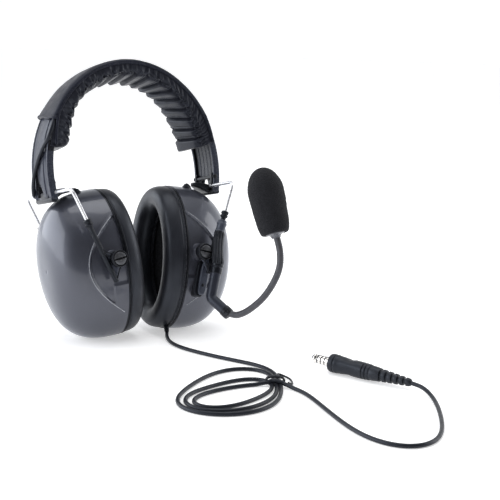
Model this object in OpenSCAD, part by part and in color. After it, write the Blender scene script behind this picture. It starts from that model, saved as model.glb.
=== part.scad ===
// Aviation headset: two domed ear cups on wire yokes, a padded headband,
// a flexible boom microphone and a coiled lead with a four-contact plug.
// Millimetres, +Z up.  The wearer faces -Y, the microphone side is +X.
// The headset is drawn upright in its own frame, then leaned back as it
// rests on a table, with its lowest point at z = 0.

/* [Stance] */
// Angle that the standing headset leans back, degrees
lean = 12; // [10:0.5:14]

/* [Ear cups] */
// Half distance between the two seam planes
cup_x = 26.8; // [25:0.1:32]
// Height of the cup centres above the headset's own origin
cup_z = 59.2; // [57:0.1:62]
// Toe-in of the cups, bottoms inward, degrees
cup_toe = 6; // [4:0.5:7]
// Half height of a cup shell at its seam
shell_a = 56; // [52:0.5:58]
// Half width of a cup shell at its seam
shell_b = 38; // [36:0.5:38]
// Depth of a cup shell from seam to crown
shell_d = 48; // [44:0.5:50]
// Wall thickness of a cup shell
shell_wall = 2.5; // [2:0.1:3]
// Thickness of the seal plate
plate_t = 3; // [2:0.5:3]
// Thickness of an ear cushion
cushion_t = 14; // [10:0.5:14]
// Half height of the ear opening
ear_a = 37; // [34:0.5:38]
// Half width of the ear opening
ear_b = 18.5; // [17:0.5:20]

/* [Yokes] */
// Diameter of the yoke wire
wire_d = 2.6; // [2.4:0.1:2.8]
// Half distance between the two legs of a yoke
leg_y = 44; // [44:0.5:46]
// Sideways slope of the legs from the vertical, degrees
leg_slope = 23; // [21:0.5:25]
// Length of wire that shows above the sleeves
leg_free = 24; // [22:0.5:28]
// Length of a sleeve
sleeve_len = 50; // [46:1:52]
// Radial running clearance of the turning and sliding fits
fit = 0.05; // [0.03:0.01:0.08]

/* [Headband] */
// Half width of the headband frame, outside
band_a = 72.5; // [70:0.5:75]
// Height of the arch above its spring line
band_b = 82; // [80:0.5:85]
// Half width of the frame, front to back
band_y = 15.5; // [14:0.5:17]

/* [Microphone] */
// Diameter of the boom tube
boom_d = 7.4; // [6.6:0.1:7.6]
// Diameter of the gooseneck
neck_d = 5; // [4:0.1:5.4]
// Length of the foam windscreen
foam_len = 49; // [44:1:52]
// Largest diameter of the foam windscreen
foam_d = 26.4; // [25:0.2:28]

/* [Lead] */
// Diameter of the lead
cord_d = 2.8; // [2.6:0.1:3]
// Diameter of the plug finger
plug_d = 7.14; // [7.14:0.01:7.14]

/* [Hidden] */
$fn = 48;

black = [0.06, 0.06, 0.07];
soft_black = [0.09, 0.09, 0.1];
gunmetal = [0.36, 0.36, 0.4];
steel = [0.78, 0.78, 0.8];

// Shift that puts the middle of the headset's box over the origin
origin_x = 0;
origin_y = 18.06;
// Lift that stands the lowest point of the cups at z = 0
stand_z = -1.89;

// ---- placing ----
module stand() { translate([origin_x, origin_y, stand_z]) rotate([-lean, 0, 0]) children(); }
module table() { translate([origin_x, origin_y, 0]) children(); }
module side(s) { if (s < 0) mirror([1, 0, 0]) children(); else children(); }
// cup frame: x outward from the seam plane, y to the back, z up the cup
module cup(s) { stand() side(s) translate([cup_x, 0, cup_z]) rotate([0, cup_toe, 0]) children(); }
// yoke frame: origin at the wire's top run, z up along the legs
yoke_x = 67.1;
yoke_z = 112.6;
module yoke(s) { stand() side(s) translate([yoke_x, 0, yoke_z]) rotate([0, leg_slope, 0]) children(); }
// pivot axis of the cup in the headset frame
pivot_x = cup_x + 8.6*cos(cup_toe) + 2.7*sin(cup_toe);
pivot_z = cup_z - 8.6*sin(cup_toe) + 2.7*cos(cup_toe);
module pivot(s) { stand() side(s) translate([pivot_x, 0, pivot_z]) children(); }
module both_y() { children(); mirror([0, 1, 0]) children(); }

// cylinder along +y from y0 to y1
module rod_y(r, y0, y1) { translate([0, y0, 0]) rotate([-90, 0, 0]) cylinder(r = r, h = y1 - y0); }
// cylinder along +x from x0 to x1
module rod_x(r, x0, x1) { translate([x0, 0, 0]) rotate([0, 90, 0]) cylinder(r = r, h = x1 - x0); }
// extrusion of an outline drawn as [along y, along z], from x0 to x1
module slab_x(x0, x1) { translate([x0, 0, 0]) rotate([90, 0, 90]) linear_extrude(x1 - x0) children(); }
// extrusion of an outline drawn as [along x, along z], from y0 to y1
module slab_y(y0, y1) { translate([0, y1, 0]) rotate([90, 0, 0]) linear_extrude(y1 - y0) children(); }
module oval(b, a, n = 56) { polygon([for (i = [0:n-1]) [b*cos(360*i/n), a*sin(360*i/n)]]); }

// ---- lofts and sweeps ----
module loft(rings) {
  n = len(rings[0]); m = len(rings);
  polyhedron(points = [for (r = rings) for (p = r) p],
    faces = concat([[for (i = [0:n-1]) i]],
      [for (j = [0:m-2]) for (i = [0:n-1]) [j*n+i, (j+1)*n+(i+1)%n, j*n+(i+1)%n]],
      [for (j = [0:m-2]) for (i = [0:n-1]) [j*n+i, (j+1)*n+i, (j+1)*n+(i+1)%n]],
      [[for (i = [n-1:-1:0]) (m-1)*n+i]]), convexity = 6);
}
module loft_loop(rings) {
  n = len(rings[0]); m = len(rings);
  polyhedron(points = [for (r = rings) for (p = r) p],
    faces = concat(
      [for (j = [0:m-1]) for (i = [0:n-1]) [j*n+i, ((j+1)%m)*n+(i+1)%n, j*n+(i+1)%n]],
      [for (j = [0:m-1]) for (i = [0:n-1]) [j*n+i, ((j+1)%m)*n+i, ((j+1)%m)*n+(i+1)%n]]), convexity = 6);
}
function unit(v) = v / norm(v);
function cr(p0, p1, p2, p3, t) = 0.5*(2*p1 + (p2 - p0)*t + (2*p0 - 5*p1 + 4*p2 - p3)*t*t + (3*p1 - p0 - 3*p2 + p3)*t*t*t);
function smooth_line(P, k) = let(n = len(P)) concat(
  [for (i = [0:n-2]) for (j = [0:k-1])
    cr(i == 0 ? 2*P[0] - P[1] : P[i-1], P[i], P[i+1], i == n-2 ? 2*P[n-1] - P[n-2] : P[i+2], j/k)], [P[n-1]]);
function tangent(L, i) = unit(L[min(i+1, len(L)-1)] - L[max(i-1, 0)]);
function side_of(t, u) = unit(u - (u*t)*t);
function frames(L, i = 0, u = [0.3, 0.2, 1]) = i >= len(L) ? [] :
  let(t = tangent(L, i), s = side_of(t, u)) concat([[s, cross(t, s)]], frames(L, i + 1, s));
module tube(L, r, n = 8) {
  F = frames(L);
  loft([for (i = [0:len(L)-1]) [for (k = [0:n-1]) L[i] + r*(cos(360*k/n)*F[i][0] + sin(360*k/n)*F[i][1])]]);
}
// straight cylinder between two points
module between(p, q, r) {
  d = q - p;
  translate(p) rotate([0, acos(d[2]/norm(d)), atan2(d[1], d[0])]) cylinder(r = r, h = norm(d));
}

// ---- ear cups ----
shell_p = 3;
function dome_k(t) = pow(1 - pow(t, shell_p), 1/shell_p);
dome_steps = [0, 0.15, 0.3, 0.43, 0.54, 0.64, 0.73, 0.8, 0.86, 0.91, 0.95, 0.98, 0.995];
module dome(a, b, d, x0 = 0) {
  steps = x0 < 0 ? concat([x0/d], dome_steps) : dome_steps;
  loft([for (t = steps) let(k = dome_k(max(t, 0))) [for (i = [0:39]) [t*d, b*k*cos(9*i), a*k*sin(9*i)]]]);
}
eye_r = 6.3;
boss_r = 5.6;
screw_r = 2.5;
module cup_shell(s) {
  cup(s) difference() {
    union() {
      dome(shell_a, shell_b, shell_d);
      both_y() translate([8.6, 0, 2.7]) rod_y(boss_r, -leg_y + 2.8, -30);
    }
    dome(shell_a - shell_wall, shell_b - shell_wall, shell_d - shell_wall, -1);
    both_y() translate([8.6, 0, 2.7]) rod_y(screw_r, -leg_y - 1, -20);
    translate([5, -8, 0]) rotate([0, 0, 0]) cylinder(r = 1.6, h = 80);
  }
}
module seal_plate(s) {
  cup(s) color(black) difference() {
    slab_x(-plate_t, 0) oval(shell_b - 0.3, shell_a - 0.3);
    slab_x(-plate_t - 1, 1) oval(ear_b - 0.5, ear_a - 1);
  }
}
// the cushion: a rounded ring swept round the ear opening
cush_n = 14;
function cush_sec(f) = let(w = f[0]) w;
module ear_cushion(s) {
  t0 = -plate_t; t1 = -plate_t - cushion_t;
  sec = [[0.02, 0], [0, 0.35], [0.06, 0.72], [0.22, 0.93], [0.45, 1], [0.68, 0.97], [0.88, 0.8], [0.98, 0.5], [1, 0.2], [0.97, 0]];
  cup(s) color(soft_black) loft_loop([for (j = [0:43]) let(c = cos(360*j/44), q = sin(360*j/44))
    [for (k = sec) let(bb = ear_b + (shell_b - 0.8 - ear_b)*(1 - k[0]), aa = ear_a + (shell_a - 0.8 - ear_a)*(1 - k[0]))
      [t0 + (t1 - t0)*k[1], bb*c, aa*q]]]);
}
module foam_liner(s) { cup(s) color([0.04, 0.04, 0.04]) slab_x(-1.6, 1.4) oval(ear_b - 1, ear_a - 1.5); }
module speaker_baffle(s) {
  cup(s) color([0.12, 0.12, 0.12]) difference() {
    slab_x(1.6, 3.4) oval(shell_b - 8, shell_a - 10);
    rod_x(12, 0, 5);
  }
}
module speaker_driver(s) {
  cup(s) color([0.5, 0.5, 0.5]) { rod_x(17, 3.6, 7.4); rod_x(10, 7.4, 13); }
}
module cup_foam(s) {
  cup(s) color([0.2, 0.2, 0.22]) slab_x(17, 32) oval(shell_b - 9, shell_a - 12);
}
module terminal_board() {
  cup(1) color([0.1, 0.35, 0.15]) union() {
    translate([34, -11, -8]) cube([1.6, 22, 16]);
    for (y = [-8, -3, 2]) translate([35.6, y, -3]) cube([2.4, 3, 6]);
  }
}
module pivot_screws(s) {
  cup(s) color([0.25, 0.25, 0.28]) both_y() translate([8.6, 0, 2.7]) difference() {
    union() {
      rod_y(6.2, -leg_y - 4.7, -leg_y - 2.6);
      rod_y(screw_r - fit, -leg_y - 2.6, -31);
    }
    translate([-7, -leg_y - 5.2, -0.7]) cube([14, 1.6, 1.4]);
  }
}
module cable_grommet(s) {
  cup(s) color(black) translate([5, -8, 0]) difference() {
    translate([0, 0, 53]) union() { cylinder(r = 1.5, h = 5.5); translate([0, 0, 2.4]) cylinder(r = 2.6, h = 2); }
    translate([0, 0, 50]) cylinder(r = 0.8, h = 12);
  }
}

// ---- pivot arms: a sleeve on each wire leg, with an eye at the cup's screw ----
sleeve_r = 2.75;
module pivot_arm(s, f) {
  // distance across the slope from the sleeve axis to the pivot
  dx = pivot_x - yoke_x; dz = pivot_z - yoke_z;
  ex = dx*cos(leg_slope) - dz*sin(leg_slope); ez = dx*sin(leg_slope) + dz*cos(leg_slope);
  yoke(s) scale([1, 1, 1]) mirror([0, f > 0 ? 1 : 0, 0]) color(black) difference() {
    union() {
      translate([0, -leg_y, -leg_free - sleeve_len]) cylinder(r = sleeve_r, h = sleeve_len);
      translate([0, -leg_y, -leg_free - 7]) cylinder(r = 3.7, h = 7);
      translate([ex, 0, ez]) rod_y(eye_r, -leg_y - 2.5, -leg_y + 2.5);
      translate([ex, -leg_y - 1.6, ez - 4]) cube([-ex, 3.2, 8]);
    }
    translate([0, -leg_y, -leg_free - sleeve_len + 4]) cylinder(r = wire_d/2 + fit, h = sleeve_len);
    translate([ex, 0, ez]) rod_y(screw_r, -leg_y - 3, -leg_y + 3);
  }
}

// ---- yoke wires ----
bend_r = 5;
leg_len = 60;
module yoke_wire(s) {
  yoke(s) color(steel) {
    rod_y(wire_d/2, -leg_y + bend_r, leg_y - bend_r);
    both_y() {
      translate([0, -leg_y, -leg_len]) cylinder(r = wire_d/2, h = leg_len - bend_r);
      translate([0, -leg_y + bend_r, -bend_r]) rotate([90, 0, -90]) rotate_extrude(angle = 90, $fn = 64)
        translate([bend_r, 0]) circle(r = wire_d/2, $fn = 48);
    }
  }
}

// ---- headband ----
band_z = 128;
arm_end = 107.5;
function arch(d, a0, n) = [for (i = [0:n]) let(a = a0 + (180 - 2*a0)*i/n) [(band_a - d)*cos(a), band_z + (band_b - d)*sin(a)]];
function arm_in(z) = 0.0045*(band_z - z)*(band_z - z);
function arm(d, sgn) = [for (i = [4:-1:1]) let(z = band_z - (band_z - arm_end)*i/4) [sgn*(band_a - d - arm_in(z)), z]];
function rev(L) = [for (i = [len(L)-1:-1:0]) L[i]];
function c_line(d) = concat(arm(d, 1), arch(d, 0, 48), rev(arm(d, -1)));
module c_band(d0, d1, y0, y1) { slab_y(y0, y1) polygon(concat(c_line(d0), rev(c_line(d1)))); }
// side wall: shallow over the arch, deeper down the arms
function deep_line() = concat(
  [for (i = [4:-1:1]) let(z = band_z - (band_z - arm_end)*i/4) [band_a - 5.6 - 0.45*i - arm_in(z), z]],
  arch(5.2, 0, 48),
  [for (i = [1:4]) let(z = band_z - (band_z - arm_end)*i/4) [-(band_a - 5.6 - 0.45*i - arm_in(z)), z]]);
module side_wall(y0, y1) { slab_y(y0, y1) polygon(concat(c_line(0), rev(deep_line()))); }
module strip(d0, d1, a0, y0, y1, n = 44) { slab_y(y0, y1) polygon(concat(arch(d0, a0, n), rev(arch(d1, a0, n)))); }

module headband_frame() {
  stand() color(black) difference() {
    union() {
      c_band(0, 2.4, -band_y, band_y);
      side_wall(-band_y, -band_y + 2);
      side_wall(band_y - 2, band_y);
    }
    // slot in the outer wall of each arm, with the way out for the cable at its top
    for (s = [-1, 1]) translate([s*70, 0, 0]) slab_x(-8, 8) polygon([[-12.5, 110.5], [-3.5, 110.5], [5.5, 127], [-6.5, 146], [-6.5, 157], [-13, 157], [-13, 146], [-3.5, 128]]);
    // way for the yoke wire and the block pin through the side walls
    for (s = [-1, 1]) translate([s*yoke_x, 0, yoke_z]) rod_y(wire_d/2 + 0.3, -30, 30);
    for (s = [-1, 1]) translate([s*pin_x, 0, pin_z]) rod_y(1.5, -30, 30);
  }
}
pin_x = 67.9;
pin_z = 119.6;
module yoke_block(s) {
  stand() side(s) color(soft_black) difference() {
    slab_y(-band_y + 2.2, band_y - 2.2) polygon([[64, 108.2], [68.1, 108.2], [68.9, 112.8], [69.4, 118], [69.7, 123.2], [64, 123.2]]);
    translate([yoke_x, 0, yoke_z]) rod_y(wire_d/2 + fit, -30, 30);
    translate([pin_x, 0, pin_z]) rod_y(1.5, -30, 30);
  }
}
module block_pins() {
  stand() color(steel) for (s = [-1, 1]) translate([s*pin_x, 0, pin_z]) rod_y(1.45, -band_y - 0.4, band_y + 0.4);
}
cover_a = 28;
flange_a = 14;
module headband_cover() {
  stand() color(soft_black) union() {
    strip(-1.5, -0.1, cover_a, -band_y - 2, band_y + 2);
    strip(-1.5, 5.4, flange_a, -band_y - 2, -band_y - 0.1);
    strip(-1.5, 5.4, cover_a, band_y + 0.1, band_y + 2);
  }
}
// inner line of the pad, with shallow ribs
function pad_r(a) = let(c = abs(cos(a))/56.5, q = abs(sin(a))/65) pow(pow(c, 2.3) + pow(q, 2.3), -1/2.3);
pad_ribs = 17;
pad_a0 = 18;
function pad_line() = [for (i = [0:pad_ribs*4]) let(a = pad_a0 + (180 - 2*pad_a0)*i/(pad_ribs*4), k = i % 4 == 0 ? 1.5 : 0)
  [(pad_r(a) + k)*cos(a), band_z + (pad_r(a) + k)*sin(a)]];
module head_pad() {
  stand() color([0.08, 0.08, 0.08]) slab_y(-band_y + 2.2, band_y - 2.2)
    polygon(concat(arch(2.6, pad_a0, 44), rev(pad_line())));
}
// cable between the cups: out through the slot of each arm and slanting down its outside
cross_pts = [[65.4, -9.8, 150], [67.6, -9.8, 148.6], [71.3, -9.3, 144.5], [73.6, -7.5, 139], [74.3, -4, 132], [74.6, 1, 125], [75.4, 6, 118.5], [76.2, 9, 112.5], [75.8, 9.4, 109]];
module crossover_cable() {
  stand() color(black) for (s = [-1, 1]) side(s) tube(smooth_line(cross_pts, 2), 1.2);
}

// ---- boom microphone ----
boom_o = [39.5, -53.3, 45];
boom_slope = 18;
module boom_axis() { stand() translate(boom_o) rotate([0, boom_slope, 0]) children(); }
socket_z0 = 4;
socket_z1 = 31;
module boom_holder() {
  color(soft_black) difference() {
    union() {
      boom_axis() translate([0, 0, socket_z0]) cylinder(r = 4.6, h = socket_z1 - socket_z0);
      // clip round the sleeve, joined to the socket
      yoke(1) translate([0, -leg_y, -50]) cylinder(r = 4.4, h = 18);
      yoke(1) translate([-4.4, -leg_y - 9, -50]) cube([8.8, 9, 18]);
    }
    boom_axis() translate([0, 0, socket_z1]) cylinder(r = 4.4, h = 20);
    boom_axis() translate([0, 0, -1]) cylinder(r = 2.95, h = 60);
    yoke(1) translate([0, -leg_y, -60]) cylinder(r = sleeve_r, h = 60);
  }
}
elbow = [33.4, -53.3, 26.2];
collar_end = [40, -64, 14.5];
module boom_tube() {
  color(black) union() {
    boom_axis() translate([0, 0, socket_z0 - 1]) cylinder(r = 2.9, h = socket_z1 - socket_z0 + 2);
    boom_axis() translate([0, 0, socket_z1 + 0.3]) cylinder(r = 4, h = 2);
    boom_axis() translate([0, 0, -19.8]) cylinder(r = boom_d/2, h = socket_z0 - 0.3 + 19.8);
    stand() translate(elbow) sphere(r = boom_d/2 + 0.12);
    stand() between(elbow, collar_end - 2*unit(collar_end - elbow), boom_d/2);
  }
}
module boom_collar() {
  stand() color(black) difference() {
    between(collar_end - 1.9*unit(collar_end - elbow), collar_end + 2.6*unit(collar_end - elbow), boom_d/2 + 0.4);
    tube([for (i = [0:4]) smooth_line(neck_pts, 4)[i]], neck_d/2 + 0.02, 12);
  }
}
neck_pts = [[39.8, -63.7, 14.9], [43.5, -73.5, 12.5], [48, -85, 17], [53, -99, 27], [57, -110.5, 42], [58, -113.5, 56], [57, -110.5, 72]];
neck_hinge = neck_pts[3];
neck_line = smooth_line(neck_pts, 4);
neck_dir = tangent(neck_line, 12);
// the lower length ends in a round nose at the hinge
module gooseneck_lower() {
  nose = [20, 40, 58, 74];
  M = concat([for (i = [0:12]) neck_line[i]], [for (a = nose) neck_hinge + neck_dir*neck_d/2*sin(a)]);
  R = concat([for (i = [0:12]) neck_d/2], [for (a = nose) neck_d/2*cos(a)]);
  F = frames(M);
  stand() color([0.15, 0.15, 0.17])
    loft([for (i = [0:len(M)-1]) [for (k = [0:11]) M[i] + R[i]*(cos(30*k)*F[i][0] + sin(30*k)*F[i][1])]]);
}
module gooseneck_upper() {
  M = concat([neck_hinge + neck_dir*(neck_d/2 + 0.4)], [for (i = [13:24]) neck_line[i]]);
  stand() color([0.15, 0.15, 0.17]) tube(M, neck_d/2, 12);
}
mic_yaw = 20;
mic_tip = 10;
module mic_axis() { stand() translate([57, -110.5, 72]) rotate(a = -mic_tip, v = [cos(mic_yaw), sin(mic_yaw), 0]) children(); }
module mic_capsule() {
  mic_axis() color([0.2, 0.2, 0.22]) union() {
    translate([0, 0, 0.1]) cylinder(r = 4, h = 4);
    translate([0, 0, 4.1]) cylinder(r = 6.4, h = 15);
  }
}
module windscreen() {
  h = foam_len; r = foam_d/2;
  mic_axis() color([0.07, 0.07, 0.07]) translate([0, 0, -2.5]) difference() {
    // narrow flat base, widest two thirds of the way up, round top
    rotate_extrude($fn = 64) polygon(concat([[0, 0], [r*0.6, 0], [r*0.76, h*0.025], [r*0.84, h*0.075], [r*0.885, h*0.15], [r*0.93, h*0.3], [r*0.975, h*0.48]],
      [for (i = [0:10]) [r*cos(9*i), h*0.62 + h*0.38*sin(9*i)]]));
    translate([0, 0, -1]) cylinder(r = 6.8, h = 24);
  }
}
module mic_lead_housing() {
  color(gunmetal) difference() {
    stand() translate([30.6, -40.8, 27.5]) cube([8.6, 12, 26]);
    cup(1) dome(shell_a, shell_b, shell_d);
    cup(1) translate([8.6, 0, 2.7]) rod_y(7, -leg_y - 3, -20);
  }
}

// ---- lead and plug, lying on the table ----
rc = cord_d/2;
gland_a = [24.6, -2.6, 8];
gland_b = [20.4, -12, 3.1];
module cable_gland() {
  color(black) difference() {
    table() between(gland_a, gland_b, 2.3);
    cup(1) dome(shell_a, shell_b, shell_d);
    cup(1) slab_x(-plate_t - 0.1, 0.1) oval(shell_b - 0.2, shell_a - 0.2);
  }
}
lead_pts = [[20.4, -12, 3.1], [17, -18, 1.9], [12, -25, 1.45], [6, -34, 1.45], [4, -45, 1.45], [7, -58, 1.45], [12, -73, 1.45], [23, -100, 1.45], [32, -116, 1.45], [33, -127, 1.45], [30, -138, 1.45]];
module cord_lead() { table() color(soft_black) tube(smooth_line(lead_pts, 3), rc); }
coil_c = [-17, -159];
coil_turn = 21;
module cord_coil() {
  table() color(soft_black) linear_extrude(5.6) difference() {
    translate(coil_c) rotate(coil_turn) oval(49, 36, 40);
    translate(coil_c + [-3, 0]) rotate(coil_turn) oval(33, 15, 32);
  }
}
module cord_tie() { table() color(black) translate([17, -158, 5.6]) rotate(-26) translate([-4, -5, 0]) cube([8, 10, 1.2]); }
tail_pts = [[22, -186, 1.45], [20, -203, 1.45], [14, -227, 1.45], [9, -254, 1.45], [10, -273, 1.45], [16, -285, 1.45], [25, -291, 1.45], [37, -289, 1.45], [50, -281, 1.45], [63, -268, 1.45],
  [80, -247, 1.45], [93, -227, 2.2], [96, -214, 4], [93.4, -204.7, 5.1]];
module cord_tail() { table() color(soft_black) tube(smooth_line(tail_pts, 3), rc); }

plug_o = [93.4, -204.7, 5.1];
plug_turn = 21.5;
plug_tilt = 1.5;
// plug frame: z along the plug, from the lead to the tip
module plug() { table() translate(plug_o) rotate([0, 0, plug_turn]) rotate([-90 + plug_tilt, 0, 0]) children(); }
relief_len = 29;
body_len = 32;
module plug_relief() {
  plug() color(black) rotate_extrude() polygon([[0, 0], [2.7, 0], [3, 1], [3.4, 9], [2.9, 9], [2.9, 10], [3.5, 10], [3.8, 14], [3.2, 14], [3.2, 15], [3.9, 15],
    [4.3, 20], [3.6, 20], [3.6, 21], [4.4, 21], [4.9, 28], [4.9, relief_len], [0, relief_len]]);
}
module plug_body() {
  z = relief_len;
  plug() color(black) difference() {
    rotate_extrude() polygon([[0, z], [5.2, z], [5.6, z + 2], [5.7, z + 16], [6.1, z + 25], [6.5, z + 27], [6.5, z + 31], [5.8, z + body_len], [0, z + body_len]]);
    translate([0, 0, z + 17]) rotate([90, 0, 0]) translate([0, 0, 5.2]) cylinder(r = 3.4, h = 4);
  }
}
finger = relief_len + body_len;
module plug_sleeve() { plug() color(steel) translate([0, 0, finger]) difference() { cylinder(r = plug_d/2, h = 3.4); translate([0, 0, -1]) cylinder(r = 2.6, h = 8); } }
module plug_ring_1() { plug() color(steel) translate([0, 0, finger + 4.1]) difference() { cylinder(r = plug_d/2, h = 2.2); translate([0, 0, -1]) cylinder(r = 2.6, h = 8); } }
module plug_ring_2() { plug() color(steel) translate([0, 0, finger + 7]) difference() { cylinder(r = plug_d/2, h = 2.2); translate([0, 0, -1]) cylinder(r = 2.6, h = 8); } }
module plug_tip() {
  plug() color(steel) translate([0, 0, finger + 9.9]) rotate_extrude() polygon([[0, 0], [2.9, 0], [2.6, 0.8], [3.2, 1.4], [plug_d/2, 2.3], [3.2, 3.6], [2.1, 4.9], [0, 5.3]]);
}
module plug_insulators() {
  plug() color(black) translate([0, 0, finger]) union() {
    cylinder(r = 2.55, h = 9.9);
    for (z = [3.43, 6.33, 9.23]) translate([0, 0, z]) cylinder(r = 3.3, h = 0.64);
  }
}

color(gunmetal) cup_shell(1);  // cup_shell_left
color(gunmetal) cup_shell(-1);  // cup_shell_right
seal_plate(1);  // seal_plate_left
seal_plate(-1);  // seal_plate_right
ear_cushion(1);  // ear_cushion_left
ear_cushion(-1);  // ear_cushion_right
foam_liner(1);  // foam_liner_left
foam_liner(-1);  // foam_liner_right
speaker_baffle(1);  // speaker_baffle_left
speaker_baffle(-1);  // speaker_baffle_right
speaker_driver(1);  // speaker_driver_left
speaker_driver(-1);  // speaker_driver_right
cup_foam(1);  // cup_foam_left
cup_foam(-1);  // cup_foam_right
terminal_board();
pivot_screws(1);  // pivot_screws_left
pivot_screws(-1);  // pivot_screws_right
cable_grommet(1);  // cable_grommet_left
cable_grommet(-1);  // cable_grommet_right
pivot_arm(1, -1);  // pivot_arm_front_left
pivot_arm(1, 1);  // pivot_arm_back_left
pivot_arm(-1, -1);  // pivot_arm_front_right
pivot_arm(-1, 1);  // pivot_arm_back_right
yoke_wire(1);  // yoke_wire_left
yoke_wire(-1);  // yoke_wire_right
headband_frame();
headband_cover();
head_pad();
yoke_block(1);  // yoke_block_left
yoke_block(-1);  // yoke_block_right
block_pins();
crossover_cable();
boom_holder();
boom_tube();
boom_collar();
gooseneck_lower();
gooseneck_upper();
mic_capsule();
windscreen();
mic_lead_housing();
cable_gland();
cord_lead();
cord_coil();
cord_tie();
cord_tail();
plug_relief();
plug_body();
plug_sleeve();
plug_ring_1();
plug_ring_2();
plug_tip();
plug_insulators();
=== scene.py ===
import math
import bpy
import bmesh
import numpy as np
from mathutils import Vector, Matrix, noise, kdtree


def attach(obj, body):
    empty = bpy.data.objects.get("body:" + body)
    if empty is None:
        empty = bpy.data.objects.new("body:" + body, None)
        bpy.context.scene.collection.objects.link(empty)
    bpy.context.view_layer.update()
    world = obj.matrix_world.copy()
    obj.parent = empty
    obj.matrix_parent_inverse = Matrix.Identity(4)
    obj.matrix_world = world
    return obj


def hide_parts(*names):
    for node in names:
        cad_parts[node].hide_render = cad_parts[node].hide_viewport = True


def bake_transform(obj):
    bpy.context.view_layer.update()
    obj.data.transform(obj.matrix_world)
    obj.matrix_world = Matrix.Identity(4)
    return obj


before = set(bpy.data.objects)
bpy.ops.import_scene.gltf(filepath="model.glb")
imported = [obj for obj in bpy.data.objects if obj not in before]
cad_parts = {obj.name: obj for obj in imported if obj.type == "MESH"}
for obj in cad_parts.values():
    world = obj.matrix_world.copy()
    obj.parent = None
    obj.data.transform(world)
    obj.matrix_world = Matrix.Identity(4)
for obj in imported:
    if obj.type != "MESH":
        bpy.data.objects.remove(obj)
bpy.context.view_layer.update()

MM = 0.001
pi = math.pi
rad = math.radians

# ------------------------------------------------------------------ frames
LEAN = rad(12.0)
CL, SL = math.cos(LEAN), math.sin(LEAN)
ORIGIN_Y, STAND_Z = 18.06, -1.89


def arr(p):
    return np.asarray(p, float).reshape(-1, 3)


def stand(p):
    p = arr(p)
    return np.stack([p[:, 0], p[:, 1]*CL + p[:, 2]*SL + ORIGIN_Y, -p[:, 1]*SL + p[:, 2]*CL + STAND_Z], 1)*MM


def stand_dir(p):
    p = arr(p)
    return np.stack([p[:, 0], p[:, 1]*CL + p[:, 2]*SL, -p[:, 1]*SL + p[:, 2]*CL], 1)


def table(p):
    p = arr(p)
    return np.stack([p[:, 0], p[:, 1] + ORIGIN_Y, p[:, 2]], 1)*MM


def rot_y(p, deg):
    p = arr(p)
    c, s = math.cos(rad(deg)), math.sin(rad(deg))
    return np.stack([p[:, 0]*c + p[:, 2]*s, p[:, 1], -p[:, 0]*s + p[:, 2]*c], 1)


def sided(p, s):
    return p*np.array([s, 1, 1])


CUP_X, CUP_Z, TOE = 26.8, 59.2, 6.0
YOKE_X, YOKE_Z, SLOPE = 67.1, 112.6, 23.0
PIV = (35.635, 60.986)


def cup_local(p):
    return rot_y(p, TOE) + [CUP_X, 0, CUP_Z]


def cup(s):
    return lambda p: stand(sided(cup_local(p), s))


def yoke_local(p):
    return rot_y(p, SLOPE) + [YOKE_X, 0, YOKE_Z]


def yoke(s):
    return lambda p: stand(sided(yoke_local(p), s))


BOOM_O = np.array([39.5, -53.3, 45.0])


def boom(p):
    return stand(rot_y(p, 18) + BOOM_O)


def axis_turn(p, axis, deg):
    a = np.array(axis, float)/np.linalg.norm(axis)
    c, s = math.cos(rad(deg)), math.sin(rad(deg))
    p = arr(p)
    return p*c + np.cross(a, p)*s + np.outer(p @ a, a)*(1 - c)


MIC_O = np.array([57, -110.5, 72.0])


def mic_local(p):
    return axis_turn(p, [math.cos(rad(20)), math.sin(rad(20)), 0], -10) + MIC_O


def mic(p):
    return stand(mic_local(p))


PLUG_O = np.array([93.4, -204.7, 5.1])


def plug_local(p):
    p = axis_turn(p, [1, 0, 0], -90 + 1.5)
    return axis_turn(p, [0, 0, 1], 21.5) + PLUG_O


def plug(p):
    return table(plug_local(p))


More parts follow.
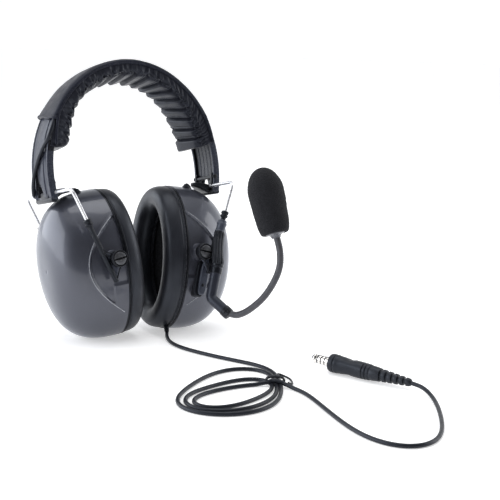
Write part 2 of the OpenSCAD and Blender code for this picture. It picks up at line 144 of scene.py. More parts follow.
# ------------------------------------------------------------------ materials
class Mat:
    """A procedural material: object-space noise drives colour, roughness and bump."""

    def __init__(self, name, base, rough, metallic=0.0, specular=0.5, coat=0.0, coat_rough=0.1, sheen=0.0, sheen_rough=0.5, ior=1.5):
        self.m = bpy.data.materials.new(name)
        self.m.use_nodes = True
        self.t = self.m.node_tree
        self.n = self.t.nodes
        self.b = self.n["Principled BSDF"]
        self.b.inputs["Base Color"].default_value = (*base, 1)
        self.b.inputs["Roughness"].default_value = rough
        self.b.inputs["Metallic"].default_value = metallic
        self.b.inputs["Specular IOR Level"].default_value = specular
        self.b.inputs["IOR"].default_value = ior
        self.b.inputs["Coat Weight"].default_value = coat
        self.b.inputs["Coat Roughness"].default_value = coat_rough
        self.b.inputs["Sheen Weight"].default_value = sheen
        self.b.inputs["Sheen Roughness"].default_value = sheen_rough
        self.b.inputs["Specular Tint"].default_value = (0.80, 0.87, 1.0, 1)
        self.base, self.rough = base, rough
        self.co = self.n.new("ShaderNodeTexCoord")
        self.height = None
        self.colour = None

    def link(self, a, b):
        self.t.links.new(a, b)

    def mapping(self, scale=(1, 1, 1), rotation=(0, 0, 0)):
        m = self.n.new("ShaderNodeMapping")
        m.inputs["Scale"].default_value = scale
        m.inputs["Rotation"].default_value = rotation
        self.link(self.co.outputs["Object"], m.inputs["Vector"])
        return m.outputs["Vector"]

    def noise(self, scale, detail=3, rough=0.55, stretch=(1, 1, 1), rotation=(0, 0, 0), distortion=0.0):
        x = self.n.new("ShaderNodeTexNoise")
        x.inputs["Scale"].default_value = scale
        x.inputs["Detail"].default_value = detail
        x.inputs["Roughness"].default_value = rough
        x.inputs["Distortion"].default_value = distortion
        self.link(self.mapping(stretch, rotation), x.inputs["Vector"])
        return x.outputs["Fac"]

    def voronoi(self, scale, feature="F1", stretch=(1, 1, 1)):
        x = self.n.new("ShaderNodeTexVoronoi")
        x.feature = feature
        x.inputs["Scale"].default_value = scale
        self.link(self.mapping(stretch), x.inputs["Vector"])
        return x.outputs["Distance"]

    def ramp(self, fac, stops):
        x = self.n.new("ShaderNodeValToRGB")
        el = x.color_ramp.elements
        while len(el) > 1:
            el.remove(el[-1])
        el[0].position = stops[0][0]
        c = stops[0][1]
        el[0].color = (*c, 1) if hasattr(c, "__len__") else (c, c, c, 1)
        for p, c in stops[1:]:
            e = el.new(p)
            e.color = (*c, 1) if hasattr(c, "__len__") else (c, c, c, 1)
        self.link(fac, x.inputs["Fac"])
        return x.outputs["Color"]

    def math(self, op, a, b):
        x = self.n.new("ShaderNodeMath")
        x.operation = op
        for i, v in enumerate((a, b)):
            if isinstance(v, (int, float)):
                x.inputs[i].default_value = v
            else:
                self.link(v, x.inputs[i])
        return x.outputs[0]

    def map(self, fac, lo, hi, a=0.3, b=0.7):
        x = self.n.new("ShaderNodeMapRange")
        x.inputs["From Min"].default_value = a
        x.inputs["From Max"].default_value = b
        x.inputs["To Min"].default_value = lo
        x.inputs["To Max"].default_value = hi
        self.link(fac, x.inputs["Value"])
        return x.outputs["Result"]

    def tint(self, fac, amount, stops=(0.3, 0.7), warm=0.0):
        """Colour varied round the base by the noise fac."""
        lo = tuple(max(c*(1 - amount), 0) for c in self.base)
        hi = tuple(c*(1 + amount)*(1 + w) for c, w in zip(self.base, (warm, 0, -warm)))
        c = self.ramp(fac, [(stops[0], lo), (stops[1], hi)])
        if self.colour is None:
            self.colour = c
        else:
            x = self.n.new("ShaderNodeMix")
            x.data_type = "RGBA"
            x.blend_type = "MULTIPLY"
            x.inputs[0].default_value = 1.0
            c = self.ramp(fac, [(stops[0], 1 - amount), (stops[1], 1.0)])
            self.link(self.colour, x.inputs[6])
            self.link(c, x.inputs[7])
            self.colour = x.outputs[2]
        self.link(self.colour, self.b.inputs["Base Color"])
        return self

    def vary_rough(self, fac, amount):
        self.link(self.map(fac, max(self.rough - amount, 0.02), min(self.rough + amount, 1)), self.b.inputs["Roughness"])
        return self

    def bump(self, fac, distance, strength=1.0):
        x = self.n.new("ShaderNodeBump")
        x.inputs["Distance"].default_value = distance
        x.inputs["Strength"].default_value = strength
        self.link(fac, x.inputs["Height"])
        if self.height is not None:
            self.link(self.height, x.inputs["Normal"])
        self.height = x.outputs["Normal"]
        self.link(self.height, self.b.inputs["Normal"])
        return self

    def edge_wear(self, lighter, amount=0.35):
        """Edges rubbed a little lighter, from the shape's pointiness."""
        g = self.n.new("ShaderNodeNewGeometry")
        fac = self.ramp(g.outputs["Pointiness"], [(0.515, 0.0), (0.56, 1.0)])
        rub = self.noise(900, 3)
        fac = self.math("MULTIPLY", fac, self.map(rub, 0.0, 1.0, 0.4, 0.65))
        fac = self.math("MULTIPLY", fac, amount)
        x = self.n.new("ShaderNodeMix")
        x.data_type = "RGBA"
        self.link(fac, x.inputs[0])
        if self.colour is None:
            x.inputs[6].default_value = (*self.base, 1)
        else:
            self.link(self.colour, x.inputs[6])
        x.inputs[7].default_value = (*lighter, 1)
        self.colour = x.outputs[2]
        self.link(self.colour, self.b.inputs["Base Color"])
        return self


def build_materials():
    M = {}
    # painted gunmetal shell: fine metal flake under a clear coat, faint orange peel, dust and hairline marks
    m = Mat("shell_gunmetal", (0.064, 0.067, 0.086), 0.38, metallic=0.45, coat=0.8, coat_rough=0.12)
    m.tint(m.noise(9000, 2), 0.22).tint(m.noise(28, 4, distortion=0.6), 0.10)
    m.vary_rough(m.noise(60, 4), 0.05)
    m.bump(m.noise(330, 2), 0.00002, 0.55).bump(m.noise(5200, 2), 0.000004, 0.4)
    M["shell"] = m.m
    # moulded black plastic, fine spark texture
    m = Mat("plastic_black", (0.006, 0.0065, 0.009), 0.34, specular=0.30)
    m.tint(m.noise(120, 5), 0.18).tint(m.noise(2600, 2), 0.12)
    m.vary_rough(m.noise(240, 4), 0.08)
    m.bump(m.noise(3800, 3), 0.000022, 0.6).edge_wear((0.10, 0.10, 0.11), 0.4)
    M["black"] = m.m
    # band arms: smoother, slightly lighter plastic with long flow marks
    m = Mat("plastic_band", (0.023, 0.0262, 0.042), 0.38, specular=0.33)
    m.tint(m.noise(90, 4), 0.15).tint(m.noise(1800, 2), 0.08)
    m.vary_rough(m.noise(300, 3), 0.07)
    m.bump(m.noise(2600, 3), 0.000018, 0.6).bump(m.noise(420, 2, stretch=(1, 1, 0.15)), 0.00003, 0.35).edge_wear((0.17, 0.175, 0.19), 0.45)
    M["band"] = m.m
    # cushion skin: soft leatherette with very fine pores
    m = Mat("leatherette", (0.0175, 0.0185, 0.024), 0.38, specular=0.42, sheen=0.04, sheen_rough=0.4)
    m.tint(m.noise(70, 4), 0.16).tint(m.noise(1500, 2), 0.10)
    m.vary_rough(m.noise(180, 4), 0.07)
    m.bump(m.voronoi(2300), 0.00005, 0.35).bump(m.noise(5200, 3), 0.00002, 0.5).bump(m.noise(110, 3), 0.00016, 0.25)
    M["skin"] = m.m
    # head pad: grained soft skin, creased
    m = Mat("pad_skin", (0.0155, 0.0165, 0.0235), 0.37, specular=0.26, sheen=0.0, sheen_rough=0.5)
    m.tint(m.noise(160, 5), 0.22).tint(m.noise(1700, 2), 0.12)
    m.vary_rough(m.noise(260, 4), 0.09)
    m.bump(m.voronoi(1700), 0.00008, 0.4).bump(m.noise(4200, 3), 0.00003, 0.5).bump(m.noise(380, 4, distortion=1.2), 0.00018, 0.4)
    M["pad"] = m.m
    # cover: satin sheath
    m = Mat("cover_satin", (0.0112, 0.0124, 0.0215), 0.43, specular=0.17, sheen=0.0)
    m.tint(m.noise(60, 4), 0.14).tint(m.noise(2100, 2), 0.10)
    m.vary_rough(m.noise(210, 4), 0.07)
    m.bump(m.voronoi(2600), 0.00004, 0.3).bump(m.noise(4600, 3), 0.00002, 0.6).bump(m.noise(75, 3), 0.0002, 0.2).edge_wear((0.11, 0.112, 0.125), 0.3)
    M["cover"] = m.m
    # open-cell foam of the windscreen
    m = Mat("foam_black", (0.0125, 0.0125, 0.0145), 0.95, specular=0.12, sheen=0.06, sheen_rough=0.6)
    m.tint(m.voronoi(1500), 0.55, stops=(0.05, 0.6)).tint(m.noise(240, 3), 0.2)
    m.bump(m.voronoi(1500), 0.00045, 0.8).bump(m.noise(3400, 3), 0.0001, 0.6)
    M["foam"] = m.m
    # coarse dark foam inside the ear opening
    m = Mat("ear_foam", (0.005, 0.005, 0.0055), 0.96, specular=0.1)
    m.tint(m.voronoi(900), 0.6, stops=(0.05, 0.6))
    m.bump(m.voronoi(900), 0.0006, 0.8).bump(m.noise(2200, 3), 0.0002, 0.6)
    M["ear_foam"] = m.m
    # absorbing wadding inside the shell
    m = Mat("wadding", (0.10, 0.10, 0.11), 0.95, specular=0.2)
    m.tint(m.noise(700, 5), 0.4).bump(m.noise(1200, 5), 0.0006, 0.8)
    M["wadding"] = m.m
    # drawn stainless wire
    m = Mat("wire_steel", (0.80, 0.80, 0.82), 0.30, metallic=0.72)
    m.tint(m.noise(500, 3), 0.10)
    m.vary_rough(m.noise(900, 4), 0.07)
    m.bump(m.noise(2600, 2, stretch=(1, 1, 0.06)), 0.00001, 0.5)
    M["steel"] = m.m
    # screw heads: dark coated metal, turned
    m = Mat("screw_dark", (0.095, 0.097, 0.105), 0.36, metallic=0.7)
    m.tint(m.noise(1200, 4), 0.22)
    m.vary_rough(m.noise(1500, 4), 0.09)
    m.bump(m.noise(5200, 2), 0.00001, 0.6).edge_wear((0.34, 0.34, 0.35), 0.6)
    M["screw"] = m.m
    # lead jacket
    m = Mat("lead_jacket", (0.010, 0.011, 0.015), 0.40, specular=0.35)
    m.tint(m.noise(300, 4), 0.18)
    m.vary_rough(m.noise(420, 4), 0.08)
    m.bump(m.noise(3600, 3), 0.00002, 0.6)
    M["lead"] = m.m
    # rubbery plug mould
    m = Mat("rubber_plug", (0.011, 0.012, 0.016), 0.42, specular=0.35)
    m.tint(m.noise(260, 4), 0.18).tint(m.noise(3000, 2), 0.1)
    m.vary_rough(m.noise(500, 4), 0.09)
    m.bump(m.noise(3000, 3), 0.00003, 0.6).edge_wear((0.085, 0.086, 0.095), 0.35)
    M["rubber"] = m.m
    # gooseneck: satin sleeve over a wound core
    m = Mat("gooseneck", (0.064, 0.061, 0.066), 0.42, specular=0.46)
    m.tint(m.noise(420, 3), 0.16)
    m.vary_rough(m.noise(600, 4), 0.08)
    m.bump(m.noise(3600, 3), 0.00003, 0.6)
    M["neck"] = m.m
    # oblong housing, blue-grey
    m = Mat("housing_grey", (0.052, 0.058, 0.080), 0.32, specular=0.45, coat=0.2, coat_rough=0.15)
    m.tint(m.noise(150, 4), 0.14).tint(m.noise(2800, 2), 0.1)
    m.vary_rough(m.noise(320, 3), 0.06)
    m.bump(m.noise(3000, 3), 0.00002, 0.5).edge_wear((0.19, 0.2, 0.23), 0.35)
    M["housing"] = m.m
    # boom tube: dark blue-black plastic
    m = Mat("boom_plastic", (0.025, 0.0275, 0.039), 0.34, specular=0.4)
    m.tint(m.noise(150, 4), 0.14).tint(m.noise(2800, 2), 0.1)
    m.vary_rough(m.noise(320, 3), 0.06)
    m.bump(m.noise(3000, 3), 0.00002, 0.5).edge_wear((0.12, 0.125, 0.14), 0.35)
    M["boom"] = m.m
    # microphone capsule: a lighter grey than its black plastic, a painted highlight on its glossy collar
    m = Mat("capsule_highlight_grey", (0.10, 0.10, 0.112), 0.26, specular=0.6, coat=0.5, coat_rough=0.1)
    m.tint(m.noise(420, 4), 0.15)
    m.vary_rough(m.noise(700, 4), 0.08)
    m.bump(m.noise(4200, 2), 0.000012, 0.6)
    M["capsule"] = m.m
    # pocket rim in the shell: a much lighter paint, a painted highlight along the rim's edge
    m = Mat("shell_rim", (0.30, 0.31, 0.34), 0.26, metallic=0.5, coat=0.6)
    m.tint(m.noise(500, 4), 0.3)
    m.vary_rough(m.noise(900, 3), 0.08)
    m.bump(m.noise(3000, 2), 0.00001, 0.5)
    M["rim"] = m.m
    # nickel contacts
    m = Mat("nickel", (0.82, 0.80, 0.77), 0.10, metallic=1.0)
    m.tint(m.noise(900, 3), 0.08)
    m.vary_rough(m.noise(1500, 4), 0.05)
    m.bump(m.noise(2600, 2), 0.000006, 0.5)
    M["nickel"] = m.m
    # twist tie
    m = Mat("tie_vinyl", (0.007, 0.007, 0.009), 0.35, specular=0.35)
    m.tint(m.noise(800, 3), 0.2)
    m.vary_rough(m.noise(900, 3), 0.08)
    m.bump(m.noise(3600, 2), 0.00002, 0.5)
    M["tie"] = m.m
    # circuit board and driver
    m = Mat("board_green", (0.03, 0.12, 0.05), 0.4)
    m.tint(m.voronoi(600), 0.3).bump(m.noise(2000, 2), 0.00003, 0.5)
    M["board"] = m.m
    m = Mat("driver_metal", (0.42, 0.42, 0.44), 0.35, metallic=0.9)
    m.tint(m.noise(700, 4), 0.15).vary_rough(m.noise(900, 3), 0.08).bump(m.noise(4000, 2), 0.00001, 0.5)
    M["driver"] = m.m
    m = Mat("baffle_plastic", (0.05, 0.05, 0.055), 0.55)
    m.tint(m.noise(300, 4), 0.2).bump(m.noise(2600, 3), 0.00003, 0.5)
    M["baffle"] = m.m
    return M


MATS = build_materials()

# ------------------------------------------------------------------ mesh tools


def link(o):
    bpy.context.scene.collection.objects.link(o)
    return o


def make(name, verts, faces, where, body, material, replaces=(), slot=None, sharp=40, bevel=0.0, segments=2, recalc=True, smooth=True, bevel_angle=30):
    """One mesh piece from points in millimetres, put in place by where() and riding on body."""
    bm = bmesh.new()
    vs = [bm.verts.new(tuple(p)) for p in np.asarray(verts, float)]
    for f in faces:
        try:
            bm.faces.new([vs[i] for i in f])
        except ValueError:
            pass
    bmesh.ops.remove_doubles(bm, verts=bm.verts, dist=1e-4)
    if recalc:
        bmesh.ops.recalc_face_normals(bm, faces=bm.faces)
    if bevel > 0:
        edges = [e for e in bm.edges if len(e.link_faces) == 2 and e.calc_face_angle(0) > rad(bevel_angle)]
        bmesh.ops.bevel(bm, geom=edges, offset=bevel, offset_type="OFFSET", segments=segments, profile=0.5, affect="EDGES", clamp_overlap=True)
        bmesh.ops.remove_doubles(bm, verts=bm.verts, dist=1e-4)
    co = where(np.array([v.co[:] for v in bm.verts]))
    for v, c in zip(bm.verts, co):
        v.co = c
    if recalc:
        bmesh.ops.recalc_face_normals(bm, faces=bm.faces)
    me = bpy.data.meshes.new(name)
    bm.to_mesh(me)
    bm.free()
    me.polygons.foreach_set("use_smooth", [smooth]*len(me.polygons))
    if smooth:
        me.set_sharp_from_angle(angle=rad(sharp))
    o = link(bpy.data.objects.new(name, me))
    me.materials.append(material)
    return dress(o, body, replaces)


def dress(o, body, replaces=()):
    if body:
        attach(o, body)
    if replaces:
        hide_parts(*replaces)
    return o


def join(parts, name):
    """Several raw (verts, faces) lists as one."""
    V, F, k = [], [], 0
    for v, f in parts:
        v = np.asarray(v, float).reshape(-1, 3)
        V.append(v)
        F += [tuple(i + k for i in x) for x in f]
        k += len(v)
    return np.vstack(V), F


def grid(P, wrap_u=False, wrap_v=True, cap=(True, True)):
    """Quads over P[u, v], its two end rings closed by fans where cap says."""
    P = np.asarray(P, float)
    nu, nv = P.shape[:2]
    V = P.reshape(-1, 3).tolist()
    F = []
    for i in range(nu if wrap_u else nu - 1):
        for j in range(nv if wrap_v else nv - 1):
            a, b = i, (i + 1) % nu
            c, d = j, (j + 1) % nv
            F.append((a*nv + c, a*nv + d, b*nv + d, b*nv + c))
    if not wrap_u and wrap_v:
        for end, on in ((0, cap[0]), (nu - 1, cap[1])):
            if on:
                ring = [end*nv + j for j in range(nv)]
                V.append(P[end].mean(0).tolist())
                k = len(V) - 1
                F += [(ring[j], ring[(j + 1) % nv], k) for j in range(nv)]
    return np.array(V), F


def lathe(profile, n=48, a0=0.0):
    """Solid of revolution about z from [(radius, z), ...], poles closed."""
    prof = [(r, z) for r, z in profile]
    V, F, rings = [], [], []
    for r, z in prof:
        if r < 1e-6:
            V.append((0, 0, z))
            rings.append([len(V) - 1])
        else:
            rings.append(list(range(len(V), len(V) + n)))
            V += [(r*math.cos(a0 + 2*pi*i/n), r*math.sin(a0 + 2*pi*i/n), z) for i in range(n)]
    for A, B in zip(rings, rings[1:]):
        if len(A) == 1 and len(B) == 1:
            continue
        for i in range(n):
            j = (i + 1) % n
            if len(A) == 1:
                F.append((A[0], B[i], B[j]))
            elif len(B) == 1:
                F.append((A[i], B[0], A[j]))
            else:
                F.append((A[i], B[i], B[j], A[j]))
    for R in (rings[0], rings[-1]):
        if len(R) > 1:
            F.append(tuple(R))
    return np.array(V, float), F


def rounded(profile, r=0.3, steps=3):
    """The corners of an open profile rounded by short arcs."""
    out = [profile[0]]
    for a, b, c in zip(profile, profile[1:], profile[2:]):
        a, b, c = (np.array(x, float) for x in (a, b, c))
        la, lc = np.linalg.norm(a - b), np.linalg.norm(c - b)
        if la < 1e-6 or lc < 1e-6:
            continue
        ang = math.acos(max(-1, min(1, float((a - b) @ (c - b)/(la*lc)))))
        if ang > rad(165) or b[0] < 1e-6:
            out.append(tuple(b))
            continue
        k = min(r, la*0.45, lc*0.45)
        p, q = b + (a - b)/la*k, b + (c - b)/lc*k
        for t in np.linspace(0, 1, steps + 1):
            out.append(tuple((1 - t)**2*p + 2*t*(1 - t)*b + t*t*q))
    out.append(profile[-1])
    return out


def frames_along(L, up=(0.3, 0.2, 1.0)):
    L = np.asarray(L, float)
    T = np.gradient(L, axis=0)
    T /= np.linalg.norm(T, axis=1)[:, None]
    u = np.array(up, float)
    U, W = [], []
    for t in T:
        u = u - (u @ t)*t
        u /= np.linalg.norm(u)
        U.append(u)
        W.append(np.cross(t, u))
    return T, np.array(U), np.array(W)


def tube(L, r, n=16, round_ends=True, up=(0.3, 0.2, 1.0)):
    """Tube along L with radius r (a number or one per point)."""
    L = np.asarray(L, float)
    R = np.full(len(L), float(r)) if np.isscalar(r) else np.asarray(r, float)
    T, U, W = frames_along(L, up)
    if round_ends:
        pre = [(L[0] - T[0]*R[0]*math.sin(a)*0.5, R[0]*math.cos(a)) for a in (1.25, 0.85, 0.45)]
        post = [(L[-1] + T[-1]*R[-1]*math.sin(a)*0.5, R[-1]*math.cos(a)) for a in (0.45, 0.85, 1.25)]
        L = np.vstack([[p for p, _ in pre], L, [p for p, _ in post]])
        R = np.concatenate([[q for _, q in pre], R, [q for _, q in post]])
        U = np.vstack([np.repeat(U[:1], 3, 0), U, np.repeat(U[-1:], 3, 0)])
        W = np.vstack([np.repeat(W[:1], 3, 0), W, np.repeat(W[-1:], 3, 0)])
    a = np.arange(n)*2*pi/n
    P = L[:, None, :] + R[:, None, None]*(np.cos(a)[None, :, None]*U[:, None, :] + np.sin(a)[None, :, None]*W[:, None, :])
    return grid(P)


def catmull(P, k):
    P = np.asarray(P, float)
    Q = np.vstack([2*P[0] - P[1], P, 2*P[-1] - P[-2]])
    out = []
    for i in range(1, len(Q) - 2):
        p0, p1, p2, p3 = Q[i-1], Q[i], Q[i+1], Q[i+2]
        for j in range(k):
            t = j/k
            out.append(0.5*(2*p1 + (p2 - p0)*t + (2*p0 - 5*p1 + 4*p2 - p3)*t*t + (3*p1 - p0 - 3*p2 + p3)*t**3))
    out.append(P[-1])
    return np.array(out)


def resample(L, step):
    L = np.asarray(L, float)
    s = np.concatenate([[0], np.cumsum(np.linalg.norm(np.diff(L, axis=0), axis=1))])
    n = max(int(round(s[-1]/step)), 2)
    q = np.linspace(0, s[-1], n + 1)
    return np.stack([np.interp(q, s, L[:, i]) for i in range(3)], 1)


def prism(outline, h0, h1, plane="xy"):
    """Extrusion of a 2D outline; plane says which axes it is drawn in."""
    n = len(outline)
    V = []
    for h in (h0, h1):
        for a, b in outline:
            V.append({"xy": (a, b, h), "xz": (a, h, b), "yz": (h, a, b)}[plane])
    F = [tuple(range(n)), tuple(range(2*n - 1, n - 1, -1))]
    F += [(i, (i + 1) % n, n + (i + 1) % n, n + i) for i in range(n)]
    return np.array(V, float), F


def circle2(cx, cy, r, n=32, a0=0, a1=360):
    return [(cx + r*math.cos(rad(a0 + (a1 - a0)*i/n)), cy + r*math.sin(rad(a0 + (a1 - a0)*i/n))) for i in range(n + (0 if a1 - a0 == 360 else 1))]


def cylinder(p, q, r, n=32, ends=0.3):
    """Cylinder from p to q with softened rims."""
    p, q = np.array(p, float), np.array(q, float)
    h = np.linalg.norm(q - p)
    prof = rounded([(0, 0), (r, 0), (r, h), (0, h)], ends)
    V, F = lathe(prof, n)
    d = (q - p)/h
    u = np.cross(d, [0.31, 0.17, 0.93] if abs(d[2]) < 0.9 else [1, 0, 0])
    u /= np.linalg.norm(u)
    w = np.cross(d, u)
    return p + V[:, :1]*u + V[:, 1:2]*w + V[:, 2:]*d, F


def smoothstep(x):
    x = np.clip(x, 0, 1)
    return x*x*(3 - 2*x)


def nz(p, scale, seed=0.0):
    return noise.noise(Vector((p[0]*scale + seed, p[1]*scale - seed, p[2]*scale + 0.37*seed)))


# ------------------------------------------------------------------ camera
cam_data = bpy.data.cameras.new("camera")
cam_data.lens = 78.17
cam_data.sensor_width = 36
cam_data.sensor_fit = "HORIZONTAL"
cam_data.clip_start, cam_data.clip_end = 0.02, 40
cam = link(bpy.data.objects.new("camera", cam_data))
X, Y, Z = (0.84137, -0.53942, 0.03347), (0.07001, 0.17015, 0.98293), (-0.5359, -0.8247, 0.1809)
cam.matrix_world = Matrix(((X[0], Y[0], Z[0], -0.3740), (X[1], Y[1], Z[1], -0.70684), (X[2], Y[2], Z[2], 0.21751), (0, 0, 0, 1)))
bpy.context.scene.camera = cam

# ------------------------------------------------------------------ the lead, first of the pieces
CORD_R = 1.4
WAY = [(16.6, -9.8, 3.3), (14.2, -14.5, 2.0), (10.4, -21.5, 1.45), (6.2, -32, 1.45), (4.6, -44, 1.45), (7, -58, 1.45), (12, -73, 1.45), (23, -100, 1.45), (31.5, -116, 1.45),
       (33, -127, 1.45), (30, -139, 1.45), (23.5, -153.5, 1.45), (16, -166.5, 1.45),
       (8, -178.5, 1.45), (-5, -191.0, 1.45), (-22, -198.0, 1.45), (-37, -197, 1.45), (-48, -191.5, 1.45), (-56, -183.5, 1.45), (-60, -173.5, 1.45), (-58, -161.5, 1.45),
       (-49, -149.5, 1.45), (-29, -132.5, 1.45), (-6, -119.5, 1.45), (14, -116.8, 1.45), (26, -126.0, 1.45), (27.0, -140.2, 1.45),
       (20.6, -153.2, 1.45), (13.3, -166.2, 1.45),
       (4, -178.5, 1.45), (-13, -188.0, 1.45), (-30, -191.5, 1.45), (-44, -187.5, 1.45), (-53, -179.5, 1.45), (-55, -169.5, 1.45), (-51, -158.5, 1.45), (-43, -151.0, 1.45),
       (-32, -146.0, 1.45), (-20, -143.5, 1.45), (-4, -140.0, 1.45), (8, -139.5, 1.45), (16.5, -145.0, 1.45), (17.2, -154.5, 1.45), (11.0, -165.0, 1.45),
       (-3, -174.0, 1.45), (-20, -180.5, 1.45), (-35, -183.5, 1.45), (-46.5, -180.0, 1.45), (-51, -170.5, 1.45), (-47, -161, 1.45), (-36, -155.0, 1.45), (-23, -152.5, 1.45), (-8, -151.5, 1.45),
       (5, -153.0, 2.2), (14.5, -156.5, 4.5), (21.0, -162.5, 4.5), (24.0, -171, 3.0), (24.2, -181, 1.6), (22.5, -191, 1.45), (20, -203, 1.45),
       (14.5, -227, 1.45), (10, -252, 1.45), (10.6, -272, 1.45), (16, -285, 1.45), (26, -291, 1.45), (38, -289.5, 1.45), (51, -281, 1.45), (64, -268, 1.45), (80, -248, 1.45),
       (91.5, -229, 2.0), (96.0, -215, 3.9), (93.4, -204.7, 5.1)]


def relax_cord(way, r, rounds=400, settle=40):
    """The route made smooth and lying on the table and on itself, without passing through itself."""
    P = resample(catmull(way, 14), 2.0)
    A = P.copy()
    n = len(P)
    idx = np.arange(n)
    gap = 2*r + 0.06
    far = np.abs(idx[:, None] - idx[None, :]) > 6
    sign = np.sign(idx[:, None] - idx[None, :])
    for it in range(rounds + settle):
        free = it < rounds
        P[:, :2] += 0.05*free*(A[:, :2] - P[:, :2])
        # stiffness: the fourth difference fades out sharp bends without pulling the loops small
        for k in (1, 2, 4):
            D2 = np.zeros_like(P)
            D2[k:-k] = P[:-2*k] - 2*P[k:-k] + P[2*k:]
            D4 = np.zeros_like(P)
            D4[k:-k] = D2[:-2*k] - 2*D2[k:-k] + D2[2*k:]
            P[2*k:-2*k] -= (0.06 if free else 0.01)*D4[2*k:-2*k]
        P[:, 2] -= 0.04
        P[-18:, 2] = A[-18:, 2]
        P[:, 2] = np.maximum(P[:, 2], r + 0.03)
        D = P[:, None, :] - P[None, :, :]
        flat = np.hypot(D[:, :, 0], D[:, :, 1])
        D[:, :, 2] += np.where((flat < 2.2) & (np.abs(D[:, :, 2]) < 1.5), 0.8*sign, 0)
        d = np.linalg.norm(D, axis=2) + 1e-9
        hit = far & (d < gap)
        push = np.where(hit[:, :, None], D/d[:, :, None]*((gap - d)*0.55)[:, :, None], 0)
        P += np.clip(push.sum(1)/np.maximum(hit.sum(1), 1)[:, None], -0.8, 0.8)
        P[:, 2] = np.maximum(P[:, 2], r + 0.03)
        P[:3], P[-5:] = A[:3], A[-5:]
    return P


cord_line = relax_cord(WAY, CORD_R)
cord_fine = catmull(cord_line, 2)
cord_curve = bpy.data.curves.new("lead", "CURVE")
cord_curve.dimensions = "3D"
cord_curve.bevel_depth = CORD_R*MM
cord_curve.bevel_resolution = 5
cord_curve.use_fill_caps = True
sp = cord_curve.splines.new("POLY")
pts = table(cord_fine)
sp.points.add(len(pts) - 1)
sp.points.foreach_set("co", np.hstack([pts, np.ones((len(pts), 1))]).astype(np.float32).ravel())
sp.use_smooth = True
cord_curve.materials.append(MATS["lead"])
lead = link(bpy.data.objects.new("lead", cord_curve))
dress(lead, "cup_left", ["cord_lead", "cord_coil", "cord_tail"])

# ---- gland: a tapered strain relief out of the cup's lower edge
ga, gb = np.array([20.2, 0.2, 11.5]), np.array([15.6, -11.8, 2.75])
L = np.array([ga + (gb - ga)*t for t in np.linspace(0, 1, 26)])
R = [2.9 - 1.15*t - (0.32 if 3 < i < 22 and i % 4 in (1, 2) else 0.0) for i, t in enumerate(np.linspace(0, 1, 26))]
gv, gf = tube(L, R, 28)
cord_gland = make("lead_gland", gv, gf, table, "cup_left", MATS["rubber"], ["cable_gland"], "rubber_black", sharp=50)

# ---- twist tie round the bundle
bc = np.array([19.2, -156.6, 0.0])
bd = np.array([-0.447, -0.894, 0.0])
bl = np.array([-0.894, 0.447, 0.0])


def tie_ring(offset, tilt, half_w, half_h, a0, a1, n=46, grow=0.0):
    out = []
    for i in range(n + 1):
        a = rad(a0 + (a1 - a0)*i/n)
        c, s = math.cos(a), math.sin(a)
        w = (half_w + grow*i/n)*math.copysign(abs(c)**0.8, c)
        h = (half_h + grow*i/n)*math.copysign(abs(s)**0.85, s)
        out.append(bc + bd*(offset + tilt*i/n) + bl*(w + 0.6) + np.array([0, 0, 3.75 + h]))
    return out


ring_path = tie_ring(-1.2, 1.6, 5.9, 2.75, 200, 560) + tie_ring(0.6, 1.9, 6.0, 2.8, 200, 560)[1:] + tie_ring(2.7, 0.8, 6.1, 2.85, 200, 300, 14)[1:]
end = ring_path[-1]
loop = [end, end + [2.5, 0.6, -0.4], (27.5, -146.5, 3.2), (30.5, -143.5, 2.6), (33, -146, 1.6), (33.5, -152, 1.2), (31, -158.5, 1.2), (27.5, -163.5, 1.6), (23.5, -165, 3.4)]
tv, tf = tube(catmull(resample(np.array(ring_path), 1.6), 3), 0.72, 10)
lv, lf = tube(catmull(np.array([np.array(p, float) for p in loop]), 8), 0.72, 10)
make("lead_tie", *join([(tv, tf), (lv, lf)], "tie"), table, "cup_left", MATS["tie"], ["cord_tie"], "tie_black", sharp=60)

# ------------------------------------------------------------------ the plug


def relief_profile():
    prof = [(0, -1.2), (2.0, -1.2), (2.5, -0.6), (2.8, 0.6)]
    z, k = 2.2, 0
    outer = lambda z: 2.75 + (5.05 - 2.75)*min(max(z/27.0, 0), 1)
    while z < 23.5:
        o = outer(z)
        prof += [(o, z), (o - 1.25, z + 0.12), (o - 1.25, z + 1.75), (outer(z + 1.9), z + 1.9)]
        z += 4.35
    prof += [(5.05, 26.0), (5.15, 29.0), (0, 29.0)]
    return prof


make("plug_strain_relief", *lathe(rounded(relief_profile(), 0.35), 56), plug, "cup_left", MATS["rubber"], ["plug_relief"], "rubber_black", sharp=38)
z = 29.0
body_prof = [(0, z - 0.2), (5.1, z - 0.2), (5.45, z + 0.4), (5.6, z + 2), (5.0, z + 2.2), (5.0, z + 2.9), (5.65, z + 3.1), (5.7, z + 4.6), (5.1, z + 4.8), (5.1, z + 5.4),
             (5.75, z + 5.6), (5.85, z + 16), (6.1, z + 24.2), (6.45, z + 26.2), (6.5, z + 27), (6.0, z + 27.4), (6.0, z + 28.0), (6.5, z + 28.4), (6.5, z + 30.6), (6.0, z + 32), (4.6, z + 32), (4.6, z + 31.6), (0, z + 31.6)]
bv, bf = lathe(rounded(body_prof, 0.45), 72)
# flat grip sides and round thumb dimples above and below
for p in bv:
    if z + 6.5 < p[2] < z + 25.5:
        g = float(smoothstep((min(p[2] - z - 6.5, z + 25.5 - p[2]))/3.0))
        lim = 5.15
        if abs(p[0]) > lim:
            p[0] = p[0] + g*(math.copysign(lim + (abs(p[0]) - lim)*0.35, p[0]) - p[0])
bm_parts = [(bv, bf)]


